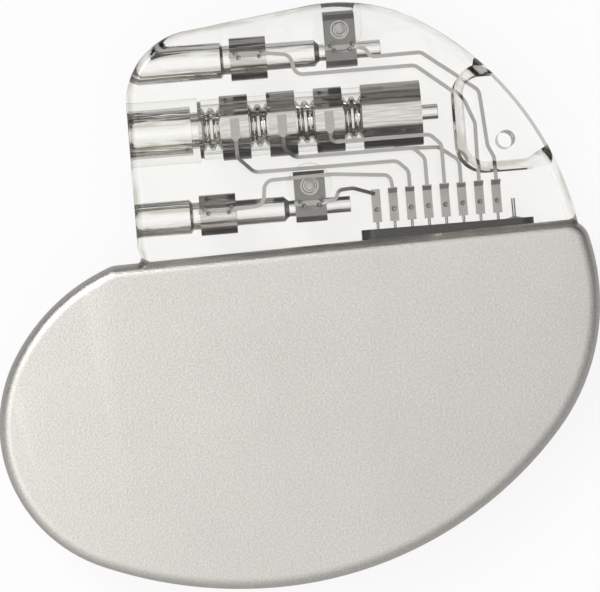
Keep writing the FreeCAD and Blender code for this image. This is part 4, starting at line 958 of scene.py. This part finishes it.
leaning = math_node(ring_spring, "MULTIPLY_ADD", sideways, start.outputs["Lean"], turned_by)
coil_radius = start.outputs["Coil radius"]
radius = math_node(
    ring_spring, "MULTIPLY_ADD", height, coil_radius, start.outputs["Ring radius"])
helix = combine(
    ring_spring,
    math_node(ring_spring, "MULTIPLY", sideways, coil_radius),
    math_node(ring_spring, "MULTIPLY", radius, math_node(ring_spring, "COSINE", leaning)),
    math_node(ring_spring, "MULTIPLY", radius, math_node(ring_spring, "SINE", leaning)),
)
coiled = ring_spring.nodes.new("GeometryNodeSetPosition")
join(ring_spring, line.outputs["Curve"], coiled.inputs["Geometry"])
join(ring_spring, helix, coiled.inputs["Position"])
wire = round_bar(
    ring_spring, coiled.outputs["Geometry"], start.outputs["Wire radius"], WIRE_SIDES)
end_growth(ring_spring, start, end, wire)
print("nodes in the spring tree:", len(ring_spring.nodes))

# %% Springs in the contacts
WIRE_RADIUS = 0.06 * MM
WIRE_SPACING = 0.2 * MM

for node in ("bipolar_springs", "middle_springs"):
    boxes = islands(node)
    low, high = boxes[0]
    thickness = high.x - low.x
    outer = (high.y - low.y) / 2
    ring_radius = outer - thickness / 2
    centres = [(low + high) / 2 for low, high in boxes]
    grow(
        "coiled_" + node, centres, ring_spring, "screw_steel", (node,),
        Ring_radius=ring_radius, Coil_radius=thickness / 2 - WIRE_RADIUS,
        Wire_radius=WIRE_RADIUS, Turns=round(2 * math.pi * ring_radius / WIRE_SPACING))

# %% [markdown]
# The floor is pale and plain. For the camera, for mirrors and for clear plastic it is almost
# white by itself, so the background stays white, and the part of it that the lamps light
# keeps the soft shadow of the device. A photographer stands black cards round a shiny or
# clear object to draw its edges dark. Here the light that comes by way of a mirror, on metal
# or on the inside of the casting, dims a little at each one, which does the same.

# %% Floor
FLOOR_SIZE = 3.0
FLOOR_GAP = 0.05 * MM
SELF_LIT = 0.85
LEFT_BY_MIRROR = 0.55
CORNERS = ((-1, -1), (1, -1), (1, 1), (-1, 1))

floor_mesh = bpy.data.meshes.new("floor")
half = FLOOR_SIZE / 2
floor_mesh.from_pydata([(x * half, y * half, -FLOOR_GAP) for x, y in CORNERS], [], [(0, 1, 2, 3)])
floor_material, tree, shader = new_material("pale floor")
shader.inputs["Base Color"].default_value = (0.9, 0.9, 0.9, 1)
shader.inputs["Roughness"].default_value = 0.9
shader.inputs["Specular IOR Level"].default_value = 0
ray = add_node(tree, "ShaderNodeLightPath")
opaque = math_node(tree, "MAXIMUM", ray.outputs["Is Camera Ray"], ray.outputs["Is Glossy Ray"])
seen = math_node(tree, "MAXIMUM", opaque, ray.outputs["Is Transmission Ray"])
share = math_node(tree, "MULTIPLY", seen, SELF_LIT)
white = add_node(tree, "ShaderNodeEmission", Strength=1.0)
blend = mix_shaders(tree, share, shader, white)
kept = math_node(tree, "POWER", LEFT_BY_MIRROR, ray.outputs["Glossy Depth"])
black = add_node(tree, "ShaderNodeEmission", Strength=0.0)
dimmed = mix_shaders(tree, kept, black, blend)
join(tree, dimmed.outputs[0], tree.nodes["Material Output"].inputs["Surface"])
floor = mesh_object("floor", floor_mesh, floor_material)
print("floor width in metres:", FLOOR_SIZE)

# %% [markdown]
# The light is a studio's: bright overhead and a little brighter on the left, dark low down
# behind the header, and lit a little low down in front of the can. The polished contacts
# mirror those differences as bands along their length, which makes them look like metal.

# %% Studio light
LOW_SKY = 0.35
HIGH_SKY = 0.9
IN_FRONT = -0.4
BEHIND = 0.5
SIDE = 0.5
FRONT_GLOW = 0.6
BACK_GLOW = 0.05
LEFT_GLOW = 1.35
RIGHT_GLOW = 0.7

world = bpy.data.worlds.new("studio")
bpy.context.scene.world = world
world.use_nodes = True
tree = world.node_tree
background = tree.nodes["Background"]
background.inputs["Color"].default_value = (1, 1, 1, 1)
direction = add_node(tree, "ShaderNodeTexCoord")
axes = separate(tree, direction.outputs["Generated"])
low_light = map_range(tree, axes["Y"], IN_FRONT, BEHIND, FRONT_GLOW, BACK_GLOW)
climb = map_range(tree, axes["Z"], LOW_SKY, HIGH_SKY, low=low_light, smooth=True)
leftward = map_range(tree, axes["X"], -SIDE, SIDE, LEFT_GLOW, RIGHT_GLOW)
glow = math_node(tree, "MULTIPLY", climb, leftward)
ray = add_node(tree, "ShaderNodeLightPath")
seen = math_node(tree, "MAXIMUM", glow, ray.outputs["Is Camera Ray"])
join(tree, seen, background.inputs["Strength"])


def soft_lamp(name, place, size, watts):
    """A square or long lamp that shines on the device."""
    lamp = bpy.data.lights.new(name, "AREA")
    lamp.shape = "RECTANGLE"
    lamp.size, lamp.size_y = size
    lamp.energy = watts
    holder = bpy.data.objects.new(name, lamp)
    holder.location = place
    holder.rotation_euler = Vector(place).to_track_quat("Z", "Y").to_euler()
    bpy.context.scene.collection.objects.link(holder)


soft_lamp("key lamp", place=(-0.35, 0.45, 0.55), size=(0.3, 0.3), watts=1.8)
soft_lamp("left lamp", place=(-0.24, -0.04, 0.34), size=(0.24, 0.3), watts=0.1)
